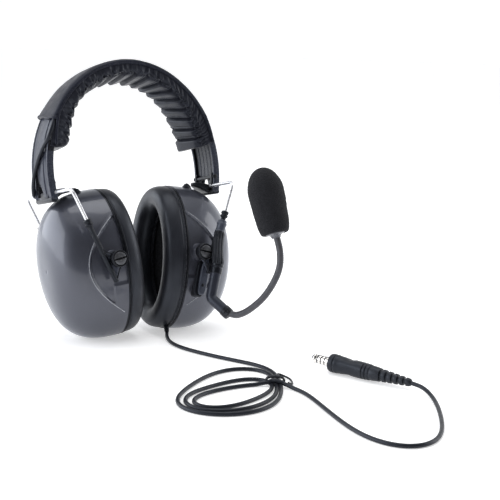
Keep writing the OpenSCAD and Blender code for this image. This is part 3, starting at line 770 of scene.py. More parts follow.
def refine(v, f, cuts=1):
    """The same surface with every quad split."""
    me = bpy.data.meshes.new("t")
    me.from_pydata([tuple(x) for x in v], [], [tuple(x) for x in f])
    bm = bmesh.new()
    bm.from_mesh(me)
    bpy.data.meshes.remove(me)
    bmesh.ops.remove_doubles(bm, verts=bm.verts, dist=1e-5)
    quads = [e for e in bm.edges if e.calc_length() > 0.9]
    bmesh.ops.subdivide_edges(bm, edges=quads, cuts=cuts, use_grid_fill=True)
    bm.verts.index_update()
    V = np.array([x.co[:] for x in bm.verts])
    F = [tuple(x.index for x in fc.verts) for fc in bm.faces]
    bm.free()
    return V, F


bv, bf = refine(bv, bf, 2)
for p in bv:
    if p[1] < 0:  # towards the sky: local -y is up
        d = math.hypot(p[0], p[2] - (z + 16.5))
        if d < 4.3:
            p[1] += 0.85*(1 - (d/4.3)**2)**0.5 if d < 4.0 else 0
            if 3.4 < d < 4.0:
                p[1] -= 0.0
    else:
        d = math.hypot(p[0], p[2] - (z + 16.5))
        if d < 4.0:
            p[1] -= 0.6*(1 - (d/4.0)**2)**0.5
make("plug_body_mould", bv, bf, plug, "cup_left", MATS["rubber"], ["plug_body"], "rubber_black", sharp=38)
F0 = 61.0
make("plug_core", *lathe([(0, F0 - 0.4), (3.05, F0 - 0.4), (3.05, F0 + 10.4), (0, F0 + 10.4)], 40), plug, "cup_left", MATS["tie"], ["plug_insulators"], "rubber_black")
for nm, node, prof in (
        ("plug_contact_sleeve", "plug_sleeve", [(2.6, F0), (3.57, F0), (3.57, F0 + 3.4), (2.6, F0 + 3.4)]),
        ("plug_contact_ring_a", "plug_ring_1", [(2.6, F0 + 4.1), (3.57, F0 + 4.1), (3.57, F0 + 6.3), (2.6, F0 + 6.3)]),
        ("plug_contact_ring_b", "plug_ring_2", [(2.6, F0 + 7.0), (3.57, F0 + 7.0), (3.57, F0 + 9.2), (2.6, F0 + 9.2)])):
    p2 = rounded(prof + [prof[0]], 0.22)
    V, F = lathe(p2, 56)
    F = [f for f in F if len(f) == 4]
    make(nm, V, F, plug, "cup_left", MATS["nickel"], [node], "contact_nickel", sharp=50)
tip_prof = [(0, F0 + 9.9), (2.9, F0 + 9.9), (2.75, F0 + 10.4), (2.62, F0 + 10.9), (2.95, F0 + 11.3), (3.4, F0 + 11.8), (3.57, F0 + 12.3), (3.5, F0 + 12.8), (3.25, F0 + 13.5), (2.8, F0 + 14.2), (2.1, F0 + 14.85), (1.2, F0 + 15.15), (0, F0 + 15.2)]
make("plug_contact_tip", *lathe(rounded(tip_prof, 0.2), 56), plug, "cup_left", MATS["nickel"], ["plug_tip"], "contact_nickel", sharp=50)

# ------------------------------------------------------------------ ear cups


def even_rings(a, b, d, n_ring, n_round, outer=True):
    """Rings spaced evenly along the profile, so that the pocket's rim is crisp."""
    fine = np.linspace(0, pi/2, 4000)
    x, k = d*np.sin(fine)**(2/2.9), np.cos(fine)**(2/2.9)
    s = np.concatenate([[0], np.cumsum(np.hypot(np.diff(x), np.diff(k*(a + b)/2)))])
    rings = []
    for q in np.linspace(0, s[-1]*0.988, n_ring + 1):
        ph = np.interp(q, s, fine)
        kk, xx0 = math.cos(ph)**(2/2.9), d*math.sin(ph)**(2/2.9)
        th = np.arange(n_round)*2*pi/n_round
        y, zz = b*kk*np.cos(th), a*kk*np.sin(th)
        xx = np.full_like(y, xx0)
        edge = 27 - 29*((zz + 2.5)/38)**2
        side = smoothstep((np.abs(y) - 8)/10)
        keep = 1 - smoothstep((11.5 - xx)/1.2)*smoothstep((-15.6 - zz)/1.2)      # the low shelf under each arm
        dep = 1.25*smoothstep((edge - xx)/1.3)*side*keep
        bead = 0.34*np.exp(-((edge + 0.9 - xx)/0.55)**2)*side*(xx > 1.5) if outer else 0
        y = y - np.sign(y)*(dep - bead)
        if outer:
            g = np.hypot(y + 4, zz - 1)
            xx = xx - np.where(g < 1.8, 0.45*(1 - g/1.8), 0)
        rings.append(np.stack([xx, y, zz], 1))
    return rings


def oval_ring(b, a, x, n):
    th = np.arange(n)*2*pi/n
    return np.stack([np.full(n, x), b*np.cos(th), a*np.sin(th)], 1)


def cloth_puff(o, pin, frames_n=16, pressure=3.0, cap_mm=2.0):
    """Cloth with air pressure, its result kept on the mesh and each point's travel capped."""
    g = o.vertex_groups.new(name="pin")
    for i, w in enumerate(pin):
        if w > 0:
            g.add([i], float(w), "REPLACE")
    rest = np.array([v.co[:] for v in o.data.vertices])
    m = o.modifiers.new("cloth", "CLOTH")
    s = m.settings
    s.quality = 6
    s.mass = 0.15
    s.tension_stiffness = s.compression_stiffness = 28
    s.shear_stiffness = 12
    s.bending_stiffness = 0.4
    s.use_pressure = True
    s.uniform_pressure_force = pressure
    s.vertex_group_mass = "pin"
    s.effector_weights.gravity = 0
    m.collision_settings.use_collision = False
    m.point_cache.frame_start, m.point_cache.frame_end = 1, frames_n
    sc = bpy.context.scene
    for f in range(1, frames_n + 1):
        sc.frame_set(f)
    dg = bpy.context.evaluated_depsgraph_get()
    e = o.evaluated_get(dg)
    now = np.array([v.co[:] for v in e.data.vertices])
    o.modifiers.remove(m)
    sc.frame_set(1)
    if now.shape == rest.shape and np.isfinite(now).all():
        d = now - rest
        n = np.linalg.norm(d, axis=1)
        d *= np.minimum(1, cap_mm*MM/np.maximum(n, 1e-9))[:, None]
        o.data.vertices.foreach_set("co", (rest + d).astype(np.float32).ravel())
        o.data.update()
    return o


NR = 300
for s, sn in ((1, "left"), (-1, "right")):
    body, at = "cup_" + sn, cup(s)
    outer = even_rings(56, 38, 48, 150, NR)
    inner = even_rings(53.6, 35.6, 45.6, 26, NR, outer=False)
    lip = [oval_ring(37.7, 55.7, -0.02, NR)]
    rings = inner[::-1] + [inner[0] - [0.02, 0, 0]] + lip + outer
    parts = [grid(np.array(rings))]
    for sy in (-1, 1):
        # boss under each pivot screw, with a foot that runs into the pocket, and a stop ledge below it
        prof = [(0, 28), (8.4, 28), (7.4, 35.0), (6.4, 36.6), (6.0, 38), (5.9, 40.6), (5.4, 41.2), (0, 41.2)]
        V, F = lathe(rounded(prof, 0.5), 48)
        parts.append((np.stack([V[:, 0] + 8.6, sy*V[:, 2], V[:, 1] + 2.7], 1), F))
    nodes = ["cup_shell_" + sn]
    make("cup_shell_" + sn + "_moulding", *join(parts, ""), at, body, MATS["shell"], nodes, "cup_grey", sharp=32)
    # thin tube along each pocket's rim in that lighter paint: a painted highlight line
    for sy, fn in ((-1, "front"), (1, "back")):
        L = []
        for zz in np.linspace(-37.6, 33.0, 110):
            x = 27 - 29*((zz + 2.5)/38)**2 + 0.9
            kk = (1 - (x/48)**2.9)**(1/2.9)
            L.append((x, sy*(38*kk*math.sqrt(1 - (zz/(56*kk))**2) + 0.02), zz))
        make("shell_rim_%s_%s" % (fn, sn), *tube(np.array(L), 0.36, 10), at, body, MATS["rim"], slot="cup_grey", sharp=180)
    # seal plate: two rounded rims with a groove between
    sec = [(-0.9, -0.02), (-0.35, -0.05), (0.0, -0.45), (0.0, -1.05), (-0.55, -1.3), (-0.55, -1.7), (0.0, -1.95), (0.0, -2.6), (-0.4, -2.98), (-1.4, -3.0)]
    rings = [oval_ring(37.85 + r, 55.85 + r, x, 160) for r, x in sec] + [oval_ring(18.2, 36.2, -3.0, 160), oval_ring(18.0, 36.0, -2.7, 160), oval_ring(18.0, 36.0, -0.3, 160), oval_ring(18.2, 36.2, -0.02, 160)]
    make("seal_plate_" + sn + "_rim", *grid(np.array(rings), wrap_u=True), at, body, MATS["black"], ["seal_plate_" + sn], "black_plastic", sharp=45)
    # ear cushion: a soft ring, puffed as cloth, with its welded base seam
    nu, sec = 132, []
    sec += [(0.985, 0.0), (1.0, 0.06)]
    for t in np.linspace(0.06, 0.94, 21):
        a = pi*t
        c, q = math.cos(a), math.sin(a)
        u = 0.5 + 0.5*math.copysign(abs(c)**(2/2.7), c)
        h = q**(2/2.5)
        h *= 1 - 0.10*smoothstep((0.45 - u)/0.45)
        sec.append((u, 0.06 + 0.94*h))
    sec += [(0.0, 0.05), (0.02, 0.0)]
    bi, ai, bo, ao = 18.3, 36.8, 37.3, 55.3
    th = np.arange(nu)*2*pi/nu
    P = np.zeros((nu, len(sec), 3))
    for k, (u, h) in enumerate(sec):
        b, a = bi + (bo - bi)*u, ai + (ao - ai)*u
        P[:, k, 0] = -3.02 - 13.3*h
        P[:, k, 1] = b*np.cos(th)
        P[:, k, 2] = a*np.sin(th)
    V, F = grid(P, wrap_u=True)
    cush = make("ear_cushion_" + sn + "_soft", V, F, at, None, MATS["skin"], sharp=180)
    loc = np.array([v.co[:] for v in cush.data.vertices])
    ref = at(V)
    from_ref = [int(np.argmin(((ref - p)**2).sum(1))) for p in loc]
    pin = np.array([1.0 if V[i][0] > -4.6 else 0.0 for i in from_ref])
    cloth_puff(cush, pin, cap_mm=1.1)
    sub = cush.modifiers.new("sub", "SUBSURF")
    sub.levels = sub.render_levels = 1
    dress(cush, body, ["ear_cushion_" + sn])
    # welded bead where the cushion's skin meets the plate, outside and inside
    for nm, b, a, x, r in (("outer", 37.15, 55.15, -3.45, 0.42), ("inner", 18.7, 37.2, -3.5, 0.4)):
        thb = np.linspace(0, 2*pi, 181)[:-1]
        P = np.zeros((180, 10, 3))
        for k in range(10):
            q = 2*pi*k/10
            P[:, k, 0] = x + r*math.sin(q)
            P[:, k, 1] = (b + r*math.cos(q))*np.cos(thb)
            P[:, k, 2] = (a + r*math.cos(q))*np.sin(thb)
        make("cushion_bead_%s_%s" % (nm, sn), *grid(P, wrap_u=True), at, body, MATS["skin"], slot="cushion_skin", sharp=180)
    # foam in the ear opening, sagging and dimpled
    nr, nc = 34, 72
    rings = []
    for face in (0, 1):
        for i in range(nr) if face == 0 else range(nr - 1, -1, -1):
            k = (i + 0.4)/(nr - 0.6)
            ring = []
            for j in range(nc):
                a = 2*pi*j/nc
                y, zz = 17.6*k*math.cos(a), 35.6*k*math.sin(a)
                bumpy = 0.35*nz((y, zz, s*7), 0.35) + 0.25*nz((y, zz, s*3), 0.9)
                x = (-1.9 - 0.5*(1 - k*k) + bumpy) if face == 0 else 1.3
                ring.append((x, y, zz))
            rings.append(ring)
    make("ear_foam_" + sn, *grid(np.array(rings)), at, body, MATS["ear_foam"], ["foam_liner_" + sn], "acoustic_foam", sharp=180)

# ------------------------------------------------------------------ headband frame
BAND_A, BAND_B, BAND_Y, BAND_Z, ARM_END = 72.5, 82.0, 15.5, 128.0, 107.5


def arm_in(z):
    return 0.0045*(BAND_Z - z)**2


def stations(n_arm=22, n_arch=150, lo=ARM_END):
    """Outer line of the band from the +x end over the top: point, inward direction, side wall depth."""
    out = []
    for z in np.linspace(lo, BAND_Z, n_arm + 1)[:-1]:
        out.append((BAND_A - arm_in(z), z, -1.0, 0.0, 5.2))
    for a in np.linspace(0, 180, n_arch + 1):
        c, s = math.cos(rad(a)), math.sin(rad(a))
        out.append((BAND_A*c, BAND_Z + BAND_B*s, -c, -s, 5.2))
    for z in np.linspace(BAND_Z, lo, n_arm + 1)[1:]:
        out.append((-(BAND_A - arm_in(z)), z, 1.0, 0.0, 5.2))
    return out


def sweep(st, section):
    """section(i, station) gives [(y, d), ...]; a closed solid along the stations."""
    P = []
    for i, t in enumerate(st):
        P.append([(t[0] + d*t[2], y, t[1] + d*t[3]) for y, d in section(i, t)])
    return grid(np.array(P))


def apply_modifiers(o):
    dg = bpy.context.evaluated_depsgraph_get()
    me = bpy.data.meshes.new_from_object(o.evaluated_get(dg))
    me.name = o.name
    old = o.data
    o.modifiers.clear()
    o.data = me
    bpy.data.meshes.remove(old)
    return o


def cut(o, cutters):
    """Cutters taken out of o, which has not been given a body yet."""
    for c in cutters:
        m = o.modifiers.new("cut", "BOOLEAN")
        m.operation = "DIFFERENCE"
        m.solver = "EXACT"
        m.object = c
    apply_modifiers(o)
    for c in cutters:
        me = c.data
        bpy.data.objects.remove(c)
        bpy.data.meshes.remove(me)
    return o


def frame_section(i, t):
    q = t[4]
    r = 0.45
    half = [(15.5, q - r), (15.38, q - 0.1), (15.05, q), (13.95, q), (13.62, q - 0.12), (13.5, q - r), (13.5, 2.4)]
    outer = [(0, 0.0), (6.6, 0.0), (6.95, 0.12), (7.1, 0.55), (7.4, 0.68), (12.9, 0.68), (13.2, 0.55), (13.35, 0.15), (13.7, 0.0), (15.0, 0.0), (15.38, 0.12), (15.5, 0.5)]
    ring = outer + half + [(6.0, 2.4), (0, 2.4)]
    left = [(-y, d) for y, d in ring[1:-1]]
    return ring + left[::-1]


def unstand(p):
    p = arr(p)/MM - [0, ORIGIN_Y, STAND_Z]
    return np.stack([p[:, 0], p[:, 1]*CL - p[:, 2]*SL, p[:, 1]*SL + p[:, 2]*CL], 1)


fr = make("headband_frame_moulding", *sweep(stations(), frame_section), stand, None, MATS["band"], sharp=35)
cutters = []
SLOT = [(-17, 151.0), (-17, 162), (-11.8, 162), (-10.0, 152), (-8.6, 143.7), (4.2, 131.4), (9.6, 127.2), (11.6, 118), (11.6, 110.2), (-3.9, 109.8), (3.4, 126.0), (3.2, 129.4), (-10.8, 143.0), (-12.4, 150.4)]
for s in (1, -1):
    V, F = prism(SLOT, s*56, s*80, "yz")
    cutters.append(make("cutter", V, F, stand, None, MATS["band"], smooth=False))
cut(fr, cutters)
# painted shade: the channel's inside gets the darker black plastic where shade falls in it
fr.data.materials.append(MATS["black"])
C = unstand(np.array([p.center[:] for p in fr.data.polygons]))
N = unstand(np.array([p.center[:] for p in fr.data.polygons]) + np.array([p.normal[:] for p in fr.data.polygons])*MM) - C
inward = np.stack([-C[:, 0], 0*C[:, 0], BAND_Z - C[:, 2]], 1)
inward[C[:, 2] < BAND_Z] = np.stack([-np.sign(C[:, 0]), 0*C[:, 0], 0*C[:, 0]], 1)[C[:, 2] < BAND_Z]
inward /= np.linalg.norm(inward, axis=1)[:, None]
dark = ((N*inward).sum(1) > 0.4) & (np.abs(C[:, 1]) < 13.45) | ((np.abs(C[:, 1]) < 13.55) & (np.sign(C[:, 1])*N[:, 1] < -0.5))
# painted shadow: the front wall under the cover's mouth also gets the black plastic
dark |= (C[:, 1] < -15.3) & (N[:, 1] < -0.8) & (C[:, 2] > 143) & (C[:, 2] < 168) & (C[:, 0] < 0)
fr.data.polygons.foreach_set("material_index", dark.astype(np.int32))
fr.data.polygons.foreach_set("use_smooth", [True]*len(fr.data.polygons))
fr.data.set_sharp_from_angle(angle=rad(35))
dress(fr, "headband", ["headband_frame"])
# moulded ribs inside each arm
for s, sn in ((1, "left"), (-1, "right")):
    parts = []
    for y0, r in ((7.6, 0.42), (2.2, 0.26), (-3.2, 0.26), (-8.4, 0.34)):
        L = []
        for z in np.linspace(119.6, 157, 36):
            x = BAND_A - arm_in(z) - 3.3 if z < BAND_Z else BAND_A*math.sqrt(1 - ((z - BAND_Z)/BAND_B)**2) - 3.3
            L.append((s*x, y0, z))
        parts.append(tube(np.array(L), r, 10))
    make("arm_ribs_" + sn, *join(parts, ""), stand, "headband", MATS["band"], slot="black_plastic", sharp=60)
    # strip that closes the upper part of the slot from inside
    P = []
    for z in np.linspace(118.5, 158, 30):
        x = BAND_A - arm_in(z) if z < BAND_Z else BAND_A*math.sqrt(1 - ((z - BAND_Z)/BAND_B)**2)
        e = 0.35*(z < 119 or z > 157.5)
        P.append([(s*(x - d), y, z) for y, d in ((-13.3 + e, 2.3 + e), (12.3 - e, 2.3 + e), (12.6 - e, 2.6), (12.3 - e, 3.3 - e), (-13.3 + e, 3.3 - e), (-13.6 + e, 2.8))])
    make("slot_strip_" + sn, *grid(np.array(P)), stand, "headband", MATS["black"], slot="black_plastic", sharp=40)

# end blocks that hold the wires: a low wedge under the wire, two cheeks for the pin
for s, sn in ((1, "left"), (-1, "right")):
    wedge = [(65.6, 107.2), (66.2, 105.8), (70.0, 105.8), (71.2, 107.0), (70.9, 109.0), (68.6, 109.6), (66.2, 109.2)]
    V, F = prism(wedge, -15.45, 15.45, "xz")
    V[:, 0] *= s
    make("yoke_block_" + sn + "_wedge", V, F, stand, "headband", MATS["black"], ["yoke_block_" + sn], "black_plastic", bevel=0.6, segments=3)
    # body of the block: reaches inwards from the arm's end and tapers
    rows = []
    for t, (x, z0, z1, w) in enumerate([(71.0, 107.3, 112.4, 6.6), (70.8, 106.9, 113.0, 7.0), (68.5, 106.6, 113.6, 7.2), (64.5, 107.6, 114.8, 7.2), (60.8, 110.1, 115.9, 6.8), (58.6, 111.3, 116.0, 5.9), (56.8, 112.2, 116.2, 4.4), (55.2, 113.0, 116.4, 3.3), (54.5, 113.6, 116.1, 2.2)]):
        zc, hh = (z0 + z1)/2, (z1 - z0)/2
        rows.append([(s*x, w*math.copysign(abs(math.cos(q))**0.45, math.cos(q)) - 1.5, zc + hh*math.copysign(abs(math.sin(q))**0.45, math.sin(q))) for q in np.arange(36)*2*pi/36])
    make("yoke_block_" + sn + "_body", *grid(np.array(rows)), stand, "headband", MATS["black"], ["yoke_block_" + sn], "black_plastic", sharp=35)
    for sy in (-1, 1):
        cheek = [(66.2, 109), (70.3, 109), (70.0, 123.0), (67.4, 123.4), (66.0, 121.8), (65.6, 116)]
        V, F = prism(cheek, sy*11.2, sy*13.45, "xz")
        V[:, 0] *= s
        make("yoke_block_%s_cheek_%s" % (sn, "f" if sy < 0 else "b"), V, F, stand, "headband", MATS["black"], ["yoke_block_" + sn], "black_plastic", bevel=0.5, segments=3)
    # pins with domed heads
    V, F = lathe(rounded(([(0, -16.2), (1.3, -16.1), (1.85, -15.7), (1.85, -15.3)] if s > 0 else [(0, -15.45), (1.3, -15.4)]) + [(1.4, -15.2), (1.4, 15.2), (1.85, 15.3), (1.85, 15.7), (1.3, 16.1), (0, 16.2)], 0.15), 32)
    V = np.stack([V[:, 0] + s*67.9, V[:, 2], V[:, 1] + 119.6], 1)
    make("block_pin_" + sn, V, F, stand, "headband", MATS["tie" if s > 0 else "band"], ["block_pins"], "yoke_steel", sharp=50)

# ------------------------------------------------------------------ cover


def arch_stations(a0, a1, n):
    out = []
    for a in np.linspace(a0, a1, n + 1):
        c, s = math.cos(rad(a)), math.sin(rad(a))
        out.append((BAND_A*c, BAND_Z + BAND_B*s, -c, -s, a))
    return out


RIM = 2.1                 # how far the cover reaches down over each side of the frame


def flare(e, y):
    """The cover's mouth stands off the arm towards the back corner."""
    return 0.6*float(1 - smoothstep(e/9.0))*float(smoothstep((y + 13)/18))


def cover_section(i, t):
    a = t[4]
    e = min(a - 28, 152 - a)
    hood = 1.0 if a > 90 else 0.1
    lip = 0.45*hood*math.exp(-(max(e, 0)/1.6)**2)
    sag = 0.12*nz((a*0.6, 3.0, 1.0), 0.5)
    ring = []
    for sy in (1, -1):
        half = []
        for y, d in ((0, -0.35), (6, -0.30), (11, -0.12), (14.2, 0.15), (16.1, 0.75), (17.0, 1.5), (17.4, 2.1), (17.45, 2.7), (17.3, 3.2), (16.8, 3.55), (16.2, 3.55)):
            half.append((sy*y, -1.55 - lip + sag + d - hood*flare(e, sy*y)*(1 if y < 17 else 0.8)))
        half += [(sy*15.8, RIM - 0.6), (sy*15.7, 0.9), (sy*15.62, 0.1), (sy*15.3, -0.12 - 0.75*hood*flare(e, sy*y)), (sy*9, -0.14 - 0.9*hood*flare(e, sy*9)), (0, -0.14 - 0.9*hood*flare(e, 0))]
        ring.append(half)
    back, front = ring
    return back + front[1:-1][::-1]


cover_parts = [sweep(arch_stations(28, 152, 150), cover_section)]
# piping that runs on along the pad's edge below the mouth
for a0, a1, d0, d1 in ((13.6, 30, 2.6, 0.9), (149, 165, 1.9, 6.0)):
    for sy in (-1, 1):
        L, R = [], []
        for t in arch_stations(a0, a1, 40):
            k = (t[4] - a0)/(a1 - a0)
            d = d0 + (d1 - d0)*k
            L.append((t[0] + d*t[2], sy*(16.9 - 0.2*abs(k - 0.5)), t[1] + d*t[3]))
            R.append(1.15)
        cover_parts.append(tube(np.array(L), R, 14))
# rolled hem along both long edges
for sy in (-1, 1):
    L = []
    for t in arch_stations(28.2, 151.8, 200):
        d = RIM - 0.25 - flare(min(t[4] - 28, 152 - t[4]), sy*17)*(0.4 if t[4] > 90 else 0.04)
        L.append((t[0] + d*t[2], sy*16.85, t[1] + d*t[3]))
    cover_parts.append(tube(np.array(L), 0.72, 12))
# thick rolled mouth at both ends
for a, sg in ((28.3, -1), (151.7, 1)):
    t = arch_stations(a, a, 1)[0]
    L = [(-16.9, 1.4), (-17.0, 0.9), (-16.6, 0.0), (-15.4, -1.0), (-13, -1.5), (-8, -1.75), (0, -1.8), (8, -1.75), (13, -1.5), (15.4, -1.0), (16.6, 0.0), (17.0, 1.0), (16.9, 1.5)]
    L = [(y, d - flare(0, y) if sg > 0 else d*0.72 + 0.1) for y, d in L]
    L = [(t[0] + d*t[2], y, t[1] + d*t[3]) for y, d in L]
    cover_parts.append(tube(catmull(np.array(L), 6), 0.95 if sg > 0 else 0.6, 14))


def lift_mouth(V):
    """The mouth away from the boom is cut on a slant: higher at the back edge."""
    V = np.array(V, float)
    a = np.degrees(np.arctan2((V[:, 2] - BAND_Z)/BAND_B, V[:, 0]/BAND_A))
    w = smoothstep((V[:, 1] + 10)/22)*(1 - smoothstep((152.2 - a)/13))*(a > 130)*(a < 152.8)
    return V + 4.2*np.asarray(w)[:, None]*[0.425, 0, 0.905]


cover_parts = [(lift_mouth(V) if n not in (3, 4) else V, F) for n, (V, F) in enumerate(cover_parts)]
cov = make("headband_cover_sheath", *join(cover_parts, ""), stand, "headband", MATS["cover"], ["headband_cover"], "cover_satin", sharp=50)

# ------------------------------------------------------------------ head pad
EDGES = [14.8, 23.5, 31.5, 40.2, 47.4, 55.5, 62.5, 70, 78, 86, 94.5, 103, 111, 119, 126.5, 133.5, 140.5, 147.5, 154, 165.3]


def band_r(a):
    c, q = math.cos(rad(a))/BAND_A, math.sin(rad(a))/BAND_B
    return (c*c + q*q)**-0.5


def pad_depth(a):
    """Depth of the pad's inner face below the band's outer face, mid-width: thin on top, full at both ends."""
    return 14.0 + 4.6*float(1 - smoothstep((a - 24)/44)) + 4.8*float(smoothstep((a - 126)/26))


SEG = 18
N_RIB = len(EDGES) - 1
pad_pts, pad_pin = [], []
n_st = N_RIB*SEG
CHANNEL = [(0, 2.6), (7, 2.6), (13.0, 2.6), (13.25, 3.0), (13.25, 5.2), (13.6, 5.55), (15.2, 5.55), (15.62, 5.2), (15.66, 2.6), (15.9, 1.95), (16.3, 1.8), (16.6, 2.1)]
for i in range(n_st + 1):
    k = min(i//SEG, N_RIB - 1)
    u = i/SEG - k
    a = EDGES[k] + (EDGES[k + 1] - EDGES[k])*u
    seed = k*1.7
    groove = math.exp(-(min(u, 1 - u)/0.085)**2) + 0.34*math.exp(-((u - 0.26)/0.055)**2)
    saw = 2.2*(1 - u)*min(u/0.1, 1)
    if k == 0:                  # +x end: plain block with a flat end
        saw = 0.0
        groove = math.exp(-((1 - u)/0.075)**2)
    if k == N_RIB - 1:          # -x end: one larger round lobe
        saw = 0.0
        groove = math.exp(-(u/0.075)**2)
    Dm = pad_depth(a)
    close = 1.0
    if i < 4:
        close = [0.80, 0.95, 0.985, 1.0][i]
    if k == N_RIB - 1:
        close = max(1 - (max(u - 0.15, 0)/0.86)**2.6, 0.0)**0.5
        close = max(close, 0.22)
    skew = 7.5*float(1 - smoothstep((a - 58)/26))*float(0.5 + 0.5*smoothstep((a - 22)/20))
    if k == 0:
        skew *= u
    ring, pin = [], []
    for sy, n_side in ((1, 23), (-1, 23)):
        half = []
        for y, d in CHANNEL:
            half.append((y, d, 0.0))
        for th in np.linspace(4, 90, n_side):
            c, q = math.cos(rad(th)), math.sin(rad(th))
            y = 16.75*c**(2/6.0)
            Ds = Dm + 1.6*sy*y/16.75
            Ds = 3.0 + (Ds - 3.0)*close
            Df = min(3.6, Ds - 0.3)
            deep = q**(2/4.2)
            half.append((y, Df + (Ds - Df)*deep, deep))
        out = []
        for y, d, deep in half:
            Ds = 3.0 + (Dm + 1.6*sy*y/16.75 - 3.0)*close
            inner = float(smoothstep((d - (Ds - 4.2))/3.2))*(deep > 0)
            front = float(smoothstep((d - 8.0)/2.6))*(deep > 0)*float(smoothstep((y - 12)/3.0))
            dd = d - (4.3*groove + saw)*inner
            yy = y - (2.0*groove*front)
            # gathers and puckers of the skin beside the rim
            if deep > 0 or y > 15.8:
                g = float(smoothstep((d - 2.0)/1.0))*float(smoothstep((Ds + 0.2 - d)/2.5))*float(smoothstep((y - 14)/2.0))
                w1 = math.sin(2*pi*(u*2.0 + 0.37*seed) + 1.6*math.sin(d*0.8 + seed))*float(0.5 + 0.5*math.sin(seed*2.3))
                w2 = 1 - 2.4*abs(nz((a*0.42, d*0.30, 2.0 + (sy > 0)*7), 1.0))
                w3 = nz((a*1.1, d*0.7, 5.0 + (sy > 0)*7), 1.0)
                yy += g*(0.5*w1 + 1.15*w2 - 0.75 + 0.55*w3)
            out.append((sy*yy, dd, deep))
        ring.append(out)
    back, front = ring
    full = back + front[1:-1][::-1]
    row = []
    for y, d, deep in full:
        aa = a + skew*0.5*y/16.0*float(smoothstep(deep/0.5)) + 0.25*groove*nz((a, y*0.4, 3.0), 1.0)
        r = band_r(aa) - d
        row.append((r*math.cos(rad(aa)), y, BAND_Z + r*math.sin(rad(aa))))
        pin.append(1.0 if (deep < 0.35 or groove > 0.5) else 0.0)
    pad_pts.append(row)
    pad_pin.append(pin)
V, F = grid(np.array(pad_pts))
PIN = np.concatenate([np.array(pad_pin).ravel(), [1.0, 1.0]])
pad = make("head_pad_soft", V, F, stand, None, MATS["pad"], sharp=180)
loc = np.array([v.co[:] for v in pad.data.vertices])
ref = stand(V)
tree = kdtree.KDTree(len(ref))
for n, p in enumerate(ref):
    tree.insert(p, n)
tree.balance()
order = [tree.find(p)[1] for p in loc]
cloth_puff(pad, PIN[order], frames_n=14, pressure=4.0, cap_mm=1.0)
sub = pad.modifiers.new("sub", "SUBSURF")
sub.levels = sub.render_levels = 1
dress(pad, "headband", ["head_pad"])

# ------------------------------------------------------------------ cable between the cups
CROSS = [(60.8, -13.6, 170.5), (62.6, -14.5, 168), (66.5, -16.2, 160), (69.9, -15.4, 152), (71.9, -10.5, 146.5), (73.4, -5, 140), (74.0, 0.6, 133.5), (74.3, 6.2, 126.8), (74.1, 9.8, 120.8), (73.3, 12.8, 116), (71.8, 15.8, 112.6)]
TAIL_A = [(71.8, 15.8, 112.6), (68.6, 17.4, 110.9), (64.4, 16.6, 110.3), (60.5, 12.9, 110.9), (58.0, 9.0, 112.0), (55.2, 5.0, 113.2)]
TAIL_B = [(58.0, 9.0, 112.0), (55.2, 5.0, 113.2), (52.8, 1.9, 113.9), (50.8, -0.6, 114.3), (49.4, -2.4, 114.4)]
TAIL_C = [(50.8, -0.6, 114.3), (49.4, -2.4, 114.4), (48.0, -4.1, 114.5), (46.9, -5.1, 114.0), (46.5, -5.2, 112.6), (46.2, -5.2, 110.5)]
ALL = CROSS + TAIL_A[1:-1] + TAIL_B[1:-1] + TAIL_C[1:]
for s, sn in ((1, "left"), (-1, "right")):
    way = np.array(ALL)
    if s > 0:                   # on the boom side it comes out of the mouth at the back edge
        way[:len(CROSS), 1] = [13.6, 14.5, 16.2, 15.6, 14.0, 12.6, 12.0, 11.8, 12.4, 13.6, 15.8]
    whole = catmull(way, 10)
    cuts = []
    for p in (CROSS[-1], TAIL_A[-2], TAIL_B[-2]):
        q = way[int(np.argmin(((np.array(ALL) - np.array(p))**2).sum(1)))]
        cuts.append(int(np.argmin(((whole - q)**2).sum(1))))
    runs = [whole[:cuts[0] + 1], whole[cuts[0]:cuts[1] + 1], whole[cuts[1]:cuts[2] + 1], whole[cuts[2]:]]
    for nm, L, a, b in (("crossover_run_" + sn, runs[0], "headband", None), ("crossover_tail_a_" + sn, runs[1], "headband", "yoke_" + sn),
                        ("crossover_tail_b_" + sn, runs[2], "yoke_" + sn, "arms_" + sn), ("crossover_tail_c_" + sn, runs[3], "arms_" + sn, "cup_" + sn)):
        L = L*[s, 1, 1]
        V, F = tube(L, 1.38, 16)
        if b is None:
            o = make(nm, V, F, stand, a, MATS["lead"], ["crossover_cable"], "rubber_black", sharp=180)
        else:
            o = make(nm, V, F, stand, None, MATS["lead"], (), "rubber_black", sharp=180)
            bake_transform(o)
    # grommet on the cup's crown
    V, F = lathe(rounded([(0, 52.6), (2.9, 52.8), (3.0, 55.6), (2.6, 56.1), (2.0, 56.2), (1.9, 57.0), (1.5, 57.6), (0, 57.6)], 0.25), 36)
    make("cable_grommet_" + sn + "_boot", V + [14, -5.2, 0], F, cup(s), "cup_" + sn, MATS["rubber"], ["cable_grommet_" + sn], "rubber_black", sharp=45)

# ------------------------------------------------------------------ yokes, arms, screws


def fillet(P, r, steps=7):
    """A 3D polyline with its corners turned into short curves."""
    P = [np.array(p, float) for p in P]
    out = [P[0]]
    for a, b, c in zip(P, P[1:], P[2:]):
        la, lc = np.linalg.norm(a - b), np.linalg.norm(c - b)
        k = min(r, la*0.48, lc*0.48)
        p, q = b + (a - b)/la*k, b + (c - b)/lc*k
        for t in np.linspace(0, 1, steps + 1):
            out.append((1 - t)**2*p + 2*t*(1 - t)*b + t*t*q)
    out.append(P[-1])
    return np.array(out)


def densify(L, step):
    out = [L[0]]
    for a, b in zip(L, L[1:]):
        n = max(int(np.linalg.norm(b - a)/step), 1)
        out += [a + (b - a)*k/n for k in range(1, n + 1)]
    return np.array(out)


